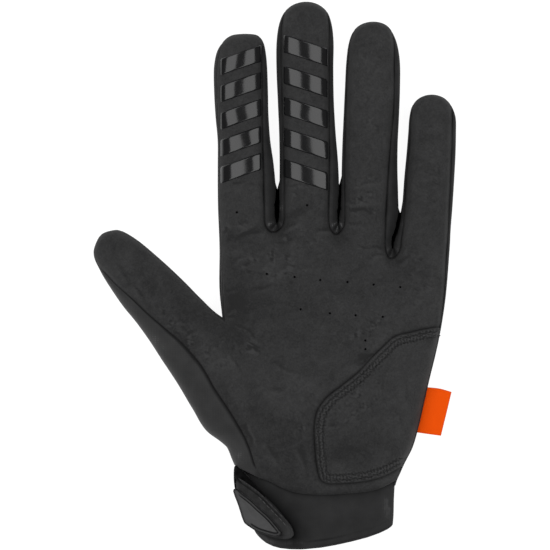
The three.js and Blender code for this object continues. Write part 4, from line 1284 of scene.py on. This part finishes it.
def back_gap_side(number, left_of_gap, y, low):
    """One side of the back panel at a gap: the back seam, then straight to the crossing, then the
    line down the hand. With low, y is a share instead."""
    if low:
        return palm_line(GAP_SEAMS[number], y)
    cross_y, cross_x, bend = GAP_CROSSINGS[number]
    rows = FINGERS[names[number if left_of_gap else number + 1]]
    start_y = cross_y - bend
    straight = digit_side(rows, np.minimum(y, start_y), left_of_gap)[2]
    start_x = digit_side(rows, np.array([start_y]), left_of_gap)[2][0]
    t = np.clip((y - start_y) / bend, 0, 1)
    curve = cross_x + (start_x - cross_x) * (1 - t)
    line_x = palm_line(GAP_SEAMS[number], 0)
    line = cross_x + (line_x - cross_x) * (y - cross_y) / (SHARES_FROM - cross_y)
    return np.where(y <= start_y, straight, np.where(y <= cross_y, curve, line))


def back_index_left(y, low):
    """The index finger's side of the back panel."""
    if low:
        start = np.interp(SHARES_FROM, index_back[:, 1], index_back[:, 0])
        return np.interp(y, (0, crotch_share, 1), (start, crotch_back[0], THUMB_LINE_END))
    return np.interp(y, index_back[:, 1], index_back[:, 0])


def back_little_right(y, low):
    """The little finger's side of the back panel."""
    if low:
        y = SHARES_FROM + (HAND_EDGE_END - SHARES_FROM) * y
    return np.interp(y, little_rows, edge_x - inset)


back_grids = palm_strips(
    [back_index_left, *(partial(back_gap_side, number, False) for number in range(3))],
    [*(partial(back_gap_side, number, True) for number in range(3)), back_little_right],
    [lambda along, right=right: digit_side(THUMB, along, right)[2] for right in (False, True)],
    (THUMB_CROTCH[2], THUMB_FOOT_ALONG - THUMB_FOOT_SHORT), back_rows, BACK_COLUMNS, BACK_STEP,
)
# The panel's edges as lines, each as far down as it is free.
back_tops = [CROTCH[1] + BACK_LEAD, *crossings, math.inf]
back_lines = []
for grid, left_top, right_top in zip(back_grids, back_tops, [*back_tops[1:], back_tops[0]]):
    back_lines += [grid_edge(grid, 0, left_top), grid_edge(grid, -1, right_top)]
back_pieces = []
for number, (x, y) in enumerate(back_grids):
    rows, at = THUMB, thumb_coordinates(x[:, 0], y[:, 0])[0]
    if number < len(names):
        rows, at = FINGERS[names[number]], y[:, 0]
    rim = digit_side(rows, at, False)[4] + heel_rise(y[:, 0])
    rest = np.maximum(REST_HEIGHT, table_at(HAND, y)[2] + BACK_CLEAR)
    turn = (1 - np.minimum(line_distance(x, y, back_lines) / BACK_TURN, 1)) ** BACK_BEND
    back_pieces.append(solid_place(x, y, rest + (rim[:, None] - rest) * turn))
back_panel = cloth_object("back_knit_panel", back_pieces, turned=True)
thicken(back_panel, KNIT_THICKNESS)
place_piece(back_panel, back_knit, "back_knit", "back_panel")

# THE HEEL PAD
# A second piece of suede over thin foam on the heel of the palm. Two rows of stitches hold it
# down along its top, front and foot, and its outer side is sewn into the side seam.
HEEL_MIDDLE = (372.0, 410.0)
HEEL_AROUND = 460
HEEL_RINGS = 56
HEEL_CROWDING = 1.7
HEEL_THICKNESS = 1.2  # mm
HEEL_FULLNESS = 0.45  # mm more that it swells inside its stitches
STITCH_INSETS = (1.6, 3.7)  # mm from the edge to the rows of stitches
STITCH_SINK = 0.42  # mm that a row draws it in
PUCKERED = ((0.5, 0.4), (3.6, 1.2))  # mm from the edge, the spans where the puckers start and end
side_run = np.linspace(HEEL_TOP[-1][1], HEEL_FOOT[-1][1], 30)
heel_side_line = np.stack([side_seam(side_run) + 0.4, side_run], -1)
heel_rim = straight_line(np.concatenate([heel_free_edge, heel_side_line[::-1]]), HEEL_AROUND + 1)[:-1]
PUCKER_STATE = rng.bit_generator.state


def ring_grid(rim, middle, rings, crowding):
    """The plan grid of a plate, as x and y: rings that shrink from its rim to its middle, closer
    together at the rim. Rows run inwards."""
    share = 1 - np.linspace(0, 1, rings)[:, None, None] ** crowding
    return np.moveaxis(np.asarray(middle) + (rim - np.asarray(middle)) * share, -1, 0)


def heel_height(x, y):
    """Height in mm of the pad: the palm's form and the pad's thickness, rounded off at the edge,
    fuller inside the stitches, drawn in at each row of them and puckered between them, and
    brought down to the side seam."""
    edge_away = line_distance(x, y, [heel_free_edge])
    seam_away = line_distance(x, y, [heel_side_line])
    z = palm_height(x, y) + 0.15 + HEEL_THICKNESS * (1 - bell(edge_away / 0.7, 1.3))
    z = z + HEEL_FULLNESS * ease((edge_away - STITCH_INSETS[1]) / 7.0) * ease(seam_away / 9.0)
    for inset_mm in STITCH_INSETS:
        z = z - STITCH_SINK * bell((edge_away - inset_mm) / 0.42)
    rng.bit_generator.state = PUCKER_STATE
    pucker = swell(x, y, 1.9, 0.19, 11) * bell((edge_away - 2.8) / 2.2)
    z = z + pucker + swell(x, y, 11.0, 0.22)
    return z - 1.9 * bell(seam_away / 1.5, 1.5)


heel_x, heel_y = ring_grid(heel_rim, HEEL_MIDDLE, HEEL_RINGS, HEEL_CROWDING)
heel_edge_away = line_distance(heel_x, heel_y, [heel_free_edge])
# Painted shadow along the pad's free edge, and painted shade in the grooves of the stitch rows.
heel_painted_shade = 0.6 * bell(heel_edge_away / 0.40)
for inset_mm in STITCH_INSETS:
    heel_painted_shade = np.maximum(heel_painted_shade, 0.42 * bell((heel_edge_away - inset_mm) / 0.4))
# Painted light and shade of the puckers between the rows, speckled over the nap.
band = risen(heel_edge_away, PUCKERED[0]) * (1 - risen(heel_edge_away, PUCKERED[1]))
heel_nap_and_light = nap_and_painted_light_at(heel_x, heel_y) + band * np.clip(swell(heel_x, heel_y, 1.05, 0.62, 15), -0.6, 0.75)
heel_places = solid_place(heel_x, heel_y, heel_height(heel_x, heel_y))
heel_pad = cloth_object(
    "heel_pad_suede", [heel_places], turned=True, closed=True, seams_and_painted_shade=[heel_painted_shade], nap_and_painted_light=[heel_nap_and_light]
)
thicken(heel_pad, HEEL_THICKNESS * MM)
place_piece(heel_pad, palm_suede, "palm_suede", "palm_heel_pad")

# THE CUFF
# A short tube of thin neoprene faced with jersey, sewn to the palm and the back along the cuff
# seam. Its mouth is turned in and hemmed.
# y, left edge, right edge, lowest and highest z
CUFF = (
    (456, 241, 402, 2.6, 24.6),
    (484, 240.8, 395.2, 2.6, 24.4),
    (500, 244, 394.0, 2.6, 24.2),
    (520, 249.5, 393.4, 2.6, 24.0),
    (538, 255, 391.8, 2.6, 24.0),
    (562, 262, 389.8, 2.6, 24.0),
)
CUFF_MOUTH = (
    (236, 511), (247, 520), (251, 524.4), (254.5, 529.0), (257.5, 532.8), (261.5, 536.6), (266, 539.9),
    (273, 543.1), (280, 544.9), (290, 545.9), (302, 546.0), (321, 544.2), (336, 541.5), (351.5, 538.1),
    (367, 534.2), (379, 530.2), (387, 526.8), (392.9, 523.6),
)
CUFF_EDGES = ((467, 533), (485, 527))  # y of the seam and of the mouth, at the left and the right
CUFF_AROUND = 150
CUFF_ROWS = 60
CUFF_INNER_ROWS = 26
CLOSE_SHARE = 0.06  # share of the cuff, beside the seam, whose rows lie closer together
TUCK = 0.09  # share of the cuff that lies tucked inside the seam
CUFF_WALL = 2.0  # mm
TUCK_DEPTH = 1.0  # mm that it lies below the palm there
HEM_INSET = 2.4  # mm from the mouth to the hem's row
HEM_SHOWN = (325, 30)  # the span of x over which the hem's painted shade line fades
MOUTH_MARGIN = 0.5  # px kept inside the outline for the rounded lip
# The line along the strap beside which the strap's shadow is painted on the cuff.
STRAP_SHADOW = ((232, 470), (250, 484), (264, 496), (276, 507), (286, 517), (292, 526), (293, 535))


def fuller(wave):
    """A sine or cosine made fuller, so that the two together run round a superellipse."""
    return np.sign(wave) * np.abs(wave) ** (2 / PALM_SQUARENESS)


def cuff_place(turn, share, inset_mm):
    """A point of the cuff: an angle round its superellipse section, a share of the way from the
    seam to the mouth, and a distance in from the outer face."""
    left_y, right_y = (seam + (mouth - seam) * share for seam, mouth in CUFF_EDGES)
    left, right = table_at(CUFF, left_y)[0], table_at(CUFF, right_y)[1]
    _, _, low, high = table_at(CUFF, (left_y + right_y) / 2)
    x = (left + right) / 2 + ((right - left) / 2 - inset_mm / MM_PER_PIXEL) * fuller(np.cos(turn))
    y = seam_y(x) + (y_on(CUFF_MOUTH, x) - MOUTH_MARGIN - seam_y(x)) * share
    return x, y, (low + high) / 2 + ((high - low) / 2 - inset_mm) * fuller(np.sin(turn))


turn = np.linspace(0, math.tau, CUFF_AROUND, endpoint=False)[None, :]
# Rows down the outside, whose first two lie tucked inside the seam, round the lip and up the inside.
outside = np.concatenate([
    [-TUCK, -TUCK / 2], np.linspace(0, CLOSE_SHARE, 8)[:-1], np.linspace(CLOSE_SHARE, 1, CUFF_ROWS),
])
inside = np.linspace(1, -TUCK, CUFF_INNER_ROWS)
lip = np.linspace(0, math.pi, 9)[1:-1]
share = np.concatenate([outside, np.ones(len(lip)), inside])[:, None]
depth = np.concatenate([
    TUCK_DEPTH * np.clip(-outside / (TUCK / 2), 0, 1), CUFF_WALL / 2 * (1 - np.cos(lip)),
    np.full(len(inside), CUFF_WALL),
])[:, None]
x, y, z = cuff_place(turn, share, depth)
# How far a row bulges out round the lip, and 1 for the rows of the outside.
bulge = np.concatenate([0 * outside, np.sin(lip), 0 * inside])[:, None]
outer = np.concatenate([0 * outside + 1, 0 * lip, 0 * inside])[:, None]
y = y + bulge * CUFF_WALL / 2 / MM_PER_PIXEL * 0.9
mouth_away = (y_on(CUFF_MOUTH, x) - y) * MM_PER_PIXEL
seam_away = (y - seam_y(x)) * MM_PER_PIXEL
seam_part = 1 - 0.6 * risen(x, CUFF_SOFT)
drawn = 0.9 * seam_part * bell(seam_away, 1.5) + 0.3 * bell((mouth_away - HEM_INSET) / 0.4)
facing = np.sin(turn)
wave = swell(x, y, 19.0, 0.25) + swell(x, y, 7.0, 0.06)
z = z - np.sign(facing) * np.abs(facing) ** 0.5 * drawn * outer + wave * np.abs(facing) * outer
palm_side = ease(facing * 4)
strap_away = line_distance(x, y, [STRAP_SHADOW])
# Painted shade along the cuff seam, in the hem's groove and at the lip, the strap's painted shadow on the
# palm side, and the tucked rows painted dark as shade.
seam_shadow = 0.4 * seam_part * bell(seam_away / 0.9) + 0.22 * bell(seam_away / 2.2)
hem_shade = 0.4 * (1 - risen(x, HEM_SHOWN)) * bell((mouth_away - HEM_INSET) / 0.35)
cuff_painted_shade = np.maximum(seam_shadow, hem_shade)
cuff_painted_shade = np.maximum(cuff_painted_shade, 0.35 * bell(mouth_away / 0.5))
cuff_painted_shade = np.maximum(cuff_painted_shade, 0.82 * palm_side * bell(strap_away / 5.1, 1.6)) * outer
cuff_painted_shade = np.maximum(cuff_painted_shade, ease(-share / 0.03))
cuff = cloth_object(
    "cuff_tube", [solid_place(x, y, z)], closed=True, seams_and_painted_shade=[cuff_painted_shade], nap_and_painted_light=[palm_side * nap_and_painted_light_at(x, y)]
)
neoprene = knit_material(
    "cuff_neoprene", (0.0180, 0.0180, 0.0183), (0.0260, 0.0260, 0.0264),
    roughness=0.85, sheen=0.02, pitch=0.0007,
)
place_piece(cuff, neoprene, "cuff_neoprene", "cuff")

# THE CLOSURE STRAP
# A band of brushed cloth with a bound edge. It comes round the outer edge of the wrist from the
# back of the cuff and is fastened down on the palm side.
STRAP_UPPER = (
    (232, 471.8), (236.5, 475.0), (244.2, 479.6), (250.6, 483.8), (257.7, 489.0), (263.6, 494.2),
    (271.2, 502.0), (278.8, 509.9), (285.4, 516.6), (289.3, 521.3), (291.5, 525.0), (292.8, 527.8),
    (293.6, 530.0), (294.2, 531.6),
)
STRAP_LOWER = (
    (232, 505), (237, 514), (244, 522.6), (254, 528.6), (264, 533), (275, 536.4), (283, 537.6),
    (288, 537.4), (291, 536.3), (293, 534.3), (294.0, 532.6), (294.2, 531.6),
)
STRAP_BACK_UPPER = ((232, 478), (262, 490), (300, 503), (334, 506))
STRAP_BACK_LOWER = ((232, 516), (262, 526), (300, 532), (334, 530))
STRAP_LIFT = 2.15  # mm that its outer face stands off the cuff
STRAP_SHEET = 1.7  # mm
STRAP_ALONG = 110
STRAP_CROWDING = 1.12
STRAP_ACROSS = 40
STRAP_TURNS = (1.862, 4.25)  # radians round the wrist, from the end on the palm to the back
STRAP_END = 294.2  # px, x of its round end
STRAP_FLAT = (276, 9)  # the span of x over which its rim gets flat, as it is pressed at the end
STRAP_TIP_LIGHTER = ((289, 531), (4, 6))  # the light patch on its tip: the place and the half-widths, px
STRAP_FIRST_GUESS = 500.0
STRAP_ROUNDS = 14
STRAP_GROOVE = 1.75  # mm from the edge to the sewn groove beside the rim


def strap_place(turn, across, upper_line, lower_line, lift):
    """A point of the strap: an angle round the wrist, a share of the way from its upper to its
    lower edge, those edges on the palm side, and how far it stands off the cuff. Its y is found
    in rounds from a first guess, because the cuff's section depends on it."""
    y = np.full(np.broadcast(turn, across).shape, STRAP_FIRST_GUESS)
    c, s = fuller(np.cos(turn)), fuller(np.sin(turn))
    front = ease(0.5 + np.sin(turn) / 0.5)
    for _ in range(STRAP_ROUNDS):
        left, right, low, high = table_at(CUFF, y)
        x = (left + right) / 2 + ((right - left) / 2 + lift / MM_PER_PIXEL) * c
        back_upper, back_lower = y_on(STRAP_BACK_UPPER, x), y_on(STRAP_BACK_LOWER, x)
        upper = back_upper + (y_on(upper_line, x) - back_upper) * front
        lower = back_lower + (y_on(lower_line, x) - back_lower) * front
        y = upper + (lower - upper) * across
    z = (low + high) / 2 + ((high - low) / 2 + lift) * s
    return x, y, z, (lower - upper) * MM_PER_PIXEL


# Its steps lie closest together at its end on the palm.
turn_run = STRAP_TURNS[1] - STRAP_TURNS[0]
turn = STRAP_TURNS[0] + turn_run * np.linspace(0, 1, STRAP_ALONG)[:, None] ** STRAP_CROWDING
across = crowded(STRAP_ACROSS, 0.75)
x, y, z, width = strap_place(turn, across, STRAP_UPPER, STRAP_LOWER, STRAP_LIFT)
edge_away = np.minimum(across, 1 - across) * width
end_away = (STRAP_END - x) * MM_PER_PIXEL
edge_away = np.where(turn < math.pi, np.minimum(edge_away, end_away), edge_away)
end_flat = risen(x, STRAP_FLAT)
hollow = bell((edge_away - STRAP_GROOVE) / 0.3)
rise = 0.28 * (1 - 0.6 * end_flat) * bell((edge_away - 0.75) / 0.42)
rise = rise - 0.30 * (1 - 0.85 * end_flat) * hollow - 0.5 * bell(edge_away / 0.35)
z = z + np.sign(np.sin(turn)) * rise * np.abs(np.sin(turn)) ** 0.5
# Painted shade in the sewn groove and along the strap's edges, less where its end is pressed flat.
strap_painted_shade = 0.75 * (1 - 0.75 * end_flat) * hollow + 0.7 * bell(edge_away / 0.3)
(tip_lighter_x, tip_lighter_y), (half_wide, half_high) = STRAP_TIP_LIGHTER
strap_nap = 0.36 * bell(np.hypot((x - tip_lighter_x) / half_wide, (y - tip_lighter_y) / half_high))
strap_nap = strap_nap + swell(x, y, 4.0, 0.09)
# A near-black lining above the strap on the palm side: the strap's black lining, with the shadow in the gap
# under the strap's edge painted into it.
LINING_UPPER = (
    (228, 461.5), (234, 463.4), (238, 466.6), (244.2, 472.2), (250.6, 479.2), (256, 484.8), (262, 490.8),
    (268, 497.6), (274, 504.6), (280, 511.6), (286, 518), (290, 523), (294, 530),
)
LINING_LIFT = (2.75, 0.6)  # mm off the cuff, at the back and at its end on the palm
LINING_TURNS = (1.90, 3.6)
LINING_RISE = (2.1, 0.9)  # the span of its turn over which it rises from one to the other
LINING_OVERLAP = 3.5  # px that it reaches under the strap
lining_turn = np.linspace(*LINING_TURNS, 70)[:, None]
lining_lift = LINING_LIFT[1] + (LINING_LIFT[0] - LINING_LIFT[1]) * risen(lining_turn, LINING_RISE)
lining_lower = [(line_x, line_y + LINING_OVERLAP) for line_x, line_y in STRAP_UPPER]
lining_x, lining_y, lining_z, _ = strap_place(
    lining_turn, np.linspace(0, 1, 12), LINING_UPPER, lining_lower, lining_lift
)
# Painted nearly black, for the shadow in the gap.
lining_painted_shade = 0.9 + swell(lining_x, lining_y, 3.0, 0.07)
strap = cloth_object(
    "closure_strap_band", [solid_place(x, y, z), solid_place(lining_x, lining_y, lining_z)],
    seams_and_painted_shade=[strap_painted_shade, lining_painted_shade], nap_and_painted_light=[strap_nap, 0 * lining_x],
)
thicken(strap, STRAP_SHEET * MM)
strap_cloth = knit_material(
    "strap_cloth", (0.0160, 0.0160, 0.0162), (0.0340, 0.0340, 0.0343),
    roughness=0.9, sheen=0.04, pitch=0.0008,
)
place_piece(strap, strap_cloth, "strap_cloth", "closure_strap")

# The tape that binds the strap's upper edge and its round end.
BINDING_WIDTH = 0.85  # mm
BINDING_RISE = 0.25
TAPE_THICKNESS = 0.0003  # metres
BINDING_TURNS = (1.866, 3.5)
BINDING_BEATS = 105.0  # the waves of its stitches, as radians for each radian round the wrist
BINDING_FADE = (292.0, 14)  # px, the x where its stitches have faded, and the run over which they do
BINDING_TAPER = (294.0, 5)  # the same for its width
binding_turn = np.linspace(*BINDING_TURNS, 280)[:, None]
bind = np.linspace(0, 1, 9)
strap_edges = (STRAP_UPPER, STRAP_LOWER)
bind_x, _, _, bind_wide = strap_place(binding_turn, np.zeros((1, 1)), *strap_edges, STRAP_LIFT)
taper = 0.1 + 0.9 * ease((BINDING_TAPER[0] - bind_x) / BINDING_TAPER[1])
bind_share = 0.12 / bind_wide + bind * taper * BINDING_WIDTH / np.maximum(bind_wide, 3.2)
arch = (BINDING_RISE * np.sqrt(1 - (2 * bind - 1) ** 2) + 0.02) * (1.3 * taper - 0.3)
bind_x, bind_y, bind_z, _ = strap_place(binding_turn, bind_share, *strap_edges, STRAP_LIFT + arch)
# Painted shade at the tape's rounded edges and in a line along its middle.
binding_painted_shade = 0.6 * np.abs(2 * bind - 1) ** 4 + 0.5 * bell((bind - 0.55) / 0.12) + 0 * bind_x
end_fade = ease((BINDING_FADE[0] - bind_x) / BINDING_FADE[1])
beats = np.sin(BINDING_BEATS * binding_turn) * np.sin(math.pi * bind)
binding_nap = 0.42 * beats * end_fade - 0.3 * (1 - end_fade)
binding = cloth_object(
    "closure_strap_binding", [solid_place(bind_x, bind_y, bind_z)], seams_and_painted_shade=[binding_painted_shade], nap_and_painted_light=[binding_nap],
)
thicken(binding, TAPE_THICKNESS)
binding_tape = knit_material(
    "binding_tape", (0.030, 0.030, 0.0303), (0.052, 0.052, 0.0524),
    roughness=0.85, sheen=0.04, pitch=0.0006,
)
place_piece(binding, binding_tape, "strap_cloth", "closure_strap")

# THE PULL TAB
# A moulded rubber tab welded over the strap's end, to grip it by: a smooth hollow field inside a
# raised rib that follows its outline.
TAB_OUTLINE = (
    (233.3, 490.3), (233.9, 488.2), (235.6, 487.7), (241.9, 492.3), (248.2, 496.7), (253.7, 501.4),
    (259.8, 507.0), (266, 512.3), (270.5, 516.7), (275.8, 522.8), (280.2, 528.5), (281.5, 530.6),
    (280.2, 532.4), (275.8, 533.8), (269.5, 532.7), (264.2, 531.3), (257, 528.9), (252.2, 526.3),
    (248.6, 524.4), (244.7, 521.6), (242.6, 517.2), (240.3, 510.1), (237.6, 502.1), (234.8, 494.9),
    (233.3, 490.3),
)
TAB_MIDDLE = (254, 513)
TAB_RISE = 20.2  # mm, the height of its outer corner
TAB_TILT = 0.215  # mm up for each px to the right
TAB_BOW = 0.0016
TAB_SHEET = 1.5  # mm
TAB_DARKER = (242, 36)  # the span of x over which painted shade makes it a little darker
TAB_RINGS = 56
TAB_AROUND = 200
TAB_CROWDING = 1.6
tab_rim = smooth_line(TAB_OUTLINE, TAB_AROUND + 1)
x, y = ring_grid(tab_rim[:-1], TAB_MIDDLE, TAB_RINGS, TAB_CROWDING)
edge_away = line_distance(x, y, [tab_rim])
corner_x, corner_y = TAB_OUTLINE[0]
z = TAB_RISE + TAB_TILT * (x - corner_x) - TAB_BOW * (x - corner_x) ** 2
z = z - 0.9 * bell(edge_away / 0.32, 1.6) + 0.1
# The rib runs along the upper and the lower edge, and the left edge is plain.
ribbed = ease(((x - corner_x - 0.4 * (y - corner_y)) / 1.08 - 3.4) / 2.0)
groove = ribbed * bell((edge_away - 1.25) / 0.2)
rib = 0.35 * ribbed * bell((edge_away - 0.6) / 0.35)
z = z + rib - 0.4 * groove - 0.2 * ease((edge_away - 1.4) / 3.5)
# Painted shade in the groove inside the rib and along the rim, a little over the rib, and more towards the
# right.
rib_groove_shade = 0.85 * groove
tab_rim_shade = (1.0 - 0.4 * ribbed) * bell(edge_away / (0.62 - 0.3 * ribbed))
tab_painted_shade = rib_groove_shade + tab_rim_shade + 0.16 * ribbed * (1 - ease((edge_away - 0.8) / 0.5))
tab_painted_shade = np.clip(tab_painted_shade + 0.12 * risen(x, TAB_DARKER), 0, 1)
tab = cloth_object("strap_tab_rubber", [solid_place(x, y, z)], closed=True, seams_and_painted_shade=[tab_painted_shade])
thicken(tab, TAB_SHEET * MM)


def moulded_material(name, dark, light, roughness, grain, depth, shine):
    """A moulded surface: nearly even in colour, with a fine grain from the mould."""
    made, tree = new_material(name)
    cloud = texture(tree, "Noise", Scale=1 / grain / 6, Detail=4.0)
    pores = texture(tree, "Noise", Scale=1 / grain, Detail=2.0)
    stops = ((0.35, dark), (0.65, light))
    return finished(made, cloud, stops, pores, 0.4, depth, shine, Roughness=roughness)


tab_rubber = moulded_material(
    "tab_rubber", (0.043, 0.043, 0.0437), (0.052, 0.052, 0.0527),
    roughness=0.6, grain=0.0004, depth=0.00005, shine=0.3,
)
place_piece(tab, tab_rubber, "tab_rubber", "strap_pull_tab")

# THE SIDE TAG
# A small folded label of woven orange tape, with both ends caught in the side seam. It is bare.
TAG_UPPER = ((423.6, 386.9), (440, 388.6), (451.4, 391.8))
TAG_LOWER = ((414.8, 432.0), (430, 434.2), (440.8, 435.6))
TAG_MIDDLE_HEIGHT = 12.9  # mm, between its leaves at the seam
TAG_HALF = 0.42  # mm from there to each leaf
TAG_LENGTH = 18.6  # mm along the seam
TAG_THICKNESS = 0.00032  # metres
TAG_ACROSS = 34
TAG_DOWN = 60
THREAD_PITCH = 0.00045  # metres from one thread of the tape to the next
upper = smooth_line(TAG_UPPER, TAG_ACROSS)
lower = smooth_line(TAG_LOWER, TAG_ACROSS)
down = crowded(TAG_DOWN, 0.6)[:, None]
x, y = np.moveaxis(upper * (1 - down[..., None]) + lower * down[..., None], -1, 0)
fold_run = np.linspace(0, 1, TAG_ACROSS)
rounded = TAG_HALF * np.sqrt(1 - np.clip((fold_run - 0.965) / 0.035, 0, 1) ** 2)
edge_away = np.minimum(down, 1 - down) * TAG_LENGTH
ridge = 0.12 * bell((edge_away - 0.7) / 0.35) - 0.1 * bell(edge_away / 0.2)
middle = TAG_MIDDLE_HEIGHT + 0.55 * np.sin(down * 2.6 + 0.4) * fold_run + 0.7 * fold_run**2
upper_leaf = solid_place(x, y, middle + rounded + ridge * (fold_run < 0.97))
lower_leaf = solid_place(x, y, middle - rounded)
tag = cloth_object("side_tag_tape", [np.hstack([upper_leaf, lower_leaf[:, ::-1]])])
thicken(tag, TAG_THICKNESS)


def tape_material(name, dark, light):
    """Woven tape: crossed threads that show as a fine even weave."""
    made, tree = new_material(name)
    across, along = (
        texture(tree, "Wave", direction, Scale=1 / THREAD_PITCH / 3.1, Distortion=0.6) for direction in "XY"
    )
    weave = reckon(tree, "MULTIPLY", across, along)
    stops = ((0.0, dark), (0.7, light))
    return finished(
        made, weave, stops, weave, strength=0.4, depth=0.0001, shine=0.08, painted_dark=False, Roughness=0.85
    )


tag_weave = tape_material("tag_weave", (0.74, 0.067, 0.0008), (0.88, 0.097, 0.0010))
place_piece(tag, tag_weave, "tag_weave", "side_tag")

# THE GRIP BARS
# Raised bars of glossy silicone printed on the index and middle fingertips, slanted and parallel,
# to grip the brake levers.
GRIPS = (
    # finger, left x, right x, first y, step, height and slant in px
    ("index", 220.6, 261.2, 52, 27, 17, 7),
    ("middle", 283.6, 327.6, 42, 31, 18, -7),
)
GRIP_COUNT = 5
GRIP_THICKNESS = 0.62  # mm
GRIP_ROUND = 0.6  # mm over which its edge is rounded
GRIP_CORNER = 1.4  # px
GRIP_AROUND = 96
GRIP_RINGS = 16
GRIP_CROWDING = 1.5
GRIP_FOOT = 0.3  # mm that a bar reaches into the suede
silicone = moulded_material(
    "grip_silicone", (0.0060, 0.0060, 0.0064), (0.0085, 0.0085, 0.0090),
    roughness=0.15, grain=0.0030, depth=0.00001, shine=0.46,
)


def rounded_corners(corners, radius):
    """A closed outline with its corners cut by quarter arcs of about the radius."""
    corners = np.asarray(corners, float)
    outline = []
    for here, before, after in zip(corners, np.roll(corners, 1, axis=0), np.roll(corners, -1, axis=0)):
        start = here + (before - here) / np.linalg.norm(before - here) * radius
        end = here + (after - here) / np.linalg.norm(after - here) * radius
        for t in np.linspace(0, 1, 5):
            outline.append((1 - t) ** 2 * start + 2 * t * (1 - t) * here + t**2 * end)
    return np.array(outline + outline[:1])


for finger, left_x, right_x, first_y, step_y, tall, slant in GRIPS:
    for number in range(GRIP_COUNT):
        left_y = first_y + number * step_y + slant
        right_y = left_y - 2 * slant
        corners = [(left_x, left_y), (right_x, right_y), (right_x, right_y + tall), (left_x, left_y + tall)]
        rim = straight_line(rounded_corners(corners, GRIP_CORNER), GRIP_AROUND + 1)
        x, y = ring_grid(rim[:-1], np.mean(corners, axis=0), GRIP_RINGS, GRIP_CROWDING)
        inwards = np.clip(line_distance(x, y, [rim]) / GRIP_ROUND, 0, 1)
        raised = GRIP_THICKNESS * np.sqrt(1 - (1 - inwards) ** 2)
        top = solid_place(x, y, palm_height(x, y, smooth=True) + raised)
        foot = solid_place(x[:1], y[:1], palm_height(x[:1], y[:1]) - GRIP_FOOT)
        bar = cloth_object(f"{finger}_grip_bar_{number + 1}", [np.concatenate([foot, top])], closed=True)
        place_piece(bar, silicone, "grip_silicone", f"grip_{finger}_{number + 1}")

# THE STITCHES
# Rows of lockstitches: two in black thread along the free edge of the heel pad, and two in grey
# thread along the strap's upper edge.
STITCH_SHARE = 0.72  # of the way from one stitch to the next
STITCH_FLATNESS = 0.8  # its height for its width
STITCH_LIFTS = (0.12, 0.06)  # mm that they stand out of the strap and of the heel pad
RING_SIDES = 6
RING_COUNT = 6


def offset_line(points, distance):
    """A plan line moved sideways by a number of mm, to the right of its direction."""
    points = np.asarray(points, float)
    along = np.gradient(points, axis=0)
    along /= np.maximum(np.linalg.norm(along, axis=1, keepdims=True), 1e-9)
    return points + np.stack([-along[:, 1], along[:, 0]], -1) * distance / MM_PER_PIXEL


def sew(name, rows, height, thread, slot, spacing, thick):
    """One object of all the stitches along some plan lines, on a surface given by its height. The
    spacing is from one stitch to the next, and thick is half a thread's thickness, both in mm. A
    stitch is a capsule along the line: rings whose radius follows a round profile."""
    centres, ends = [], []
    for line in rows:
        count = max(int(run_along(line)[-1] * MM_PER_PIXEL / spacing), 2)
        x, y = straight_line(line, 2 * count + 1).T
        places = solid_place(x, y, height(x, y))
        centres.append(places[1::2])
        ends.append((places[2::2] - places[:-1:2]) / 2)
    centre, half = np.concatenate(centres), np.concatenate(ends) * STITCH_SHARE
    along = half / np.linalg.norm(half, axis=1, keepdims=True)
    side = np.cross(along, (0.0, 0.0, 1.0))
    side /= np.linalg.norm(side, axis=1, keepdims=True)
    up = np.cross(side, along)
    t = -np.cos(np.linspace(0, math.pi, RING_COUNT))
    radius = thick * MM * np.sqrt(np.maximum(1 - t**4, 0))
    turn = np.linspace(0, math.tau, RING_SIDES, endpoint=False)
    rings = (
        centre[:, None, None] + half[:, None, None] * t[None, :, None, None]
        + side[:, None, None] * (radius[:, None] * np.cos(turn))[None, ..., None]
        + up[:, None, None] * (radius[:, None] * np.sin(turn))[None, ..., None] * STITCH_FLATNESS
    )
    place_piece(cloth_object(name, list(rings), closed=True), thread, slot)


def strap_top(x, y):
    """Height in mm of the strap's stitches: on the palm side of the cuff's form, grown by the
    strap's lift."""
    left, right, low, high = table_at(CUFF, y)
    wide = STRAP_LIFT / MM_PER_PIXEL
    form = dome(x, left - wide, right + wide, low - STRAP_LIFT, high + STRAP_LIFT, PALM_SQUARENESS)
    return form + STITCH_LIFTS[0]


def heel_top(x, y):
    """Height in mm of the heel pad's stitches, which stand a little out of it."""
    return heel_height(x, y) + STITCH_LIFTS[1]


thread_look = {"roughness": 0.7, "grain": 0.0002, "depth": 0.00003, "shine": 0.3}
black_thread = moulded_material(
    "black_thread", (0.0075, 0.0075, 0.008), (0.013, 0.013, 0.0135), **thread_look
)
grey_thread = moulded_material(
    "strap_thread", (0.050, 0.050, 0.0505), (0.072, 0.072, 0.0725), **thread_look
)
strap_row = smooth_line(STRAP_UPPER[3:10], 60)
strap_rows = [offset_line(strap_row[14:], STRAP_GROOVE), offset_line(strap_row[:40], 0.5)]
sew(
    "closure_strap_stitches", strap_rows, strap_top, grey_thread, "strap_cloth", spacing=2.3, thick=0.16
)
heel_rows = [offset_line(heel_free_edge, -inset_mm) for inset_mm in STITCH_INSETS]
sew("heel_pad_stitches", heel_rows, heel_top, black_thread, "palm_suede", spacing=2.4, thick=0.24)
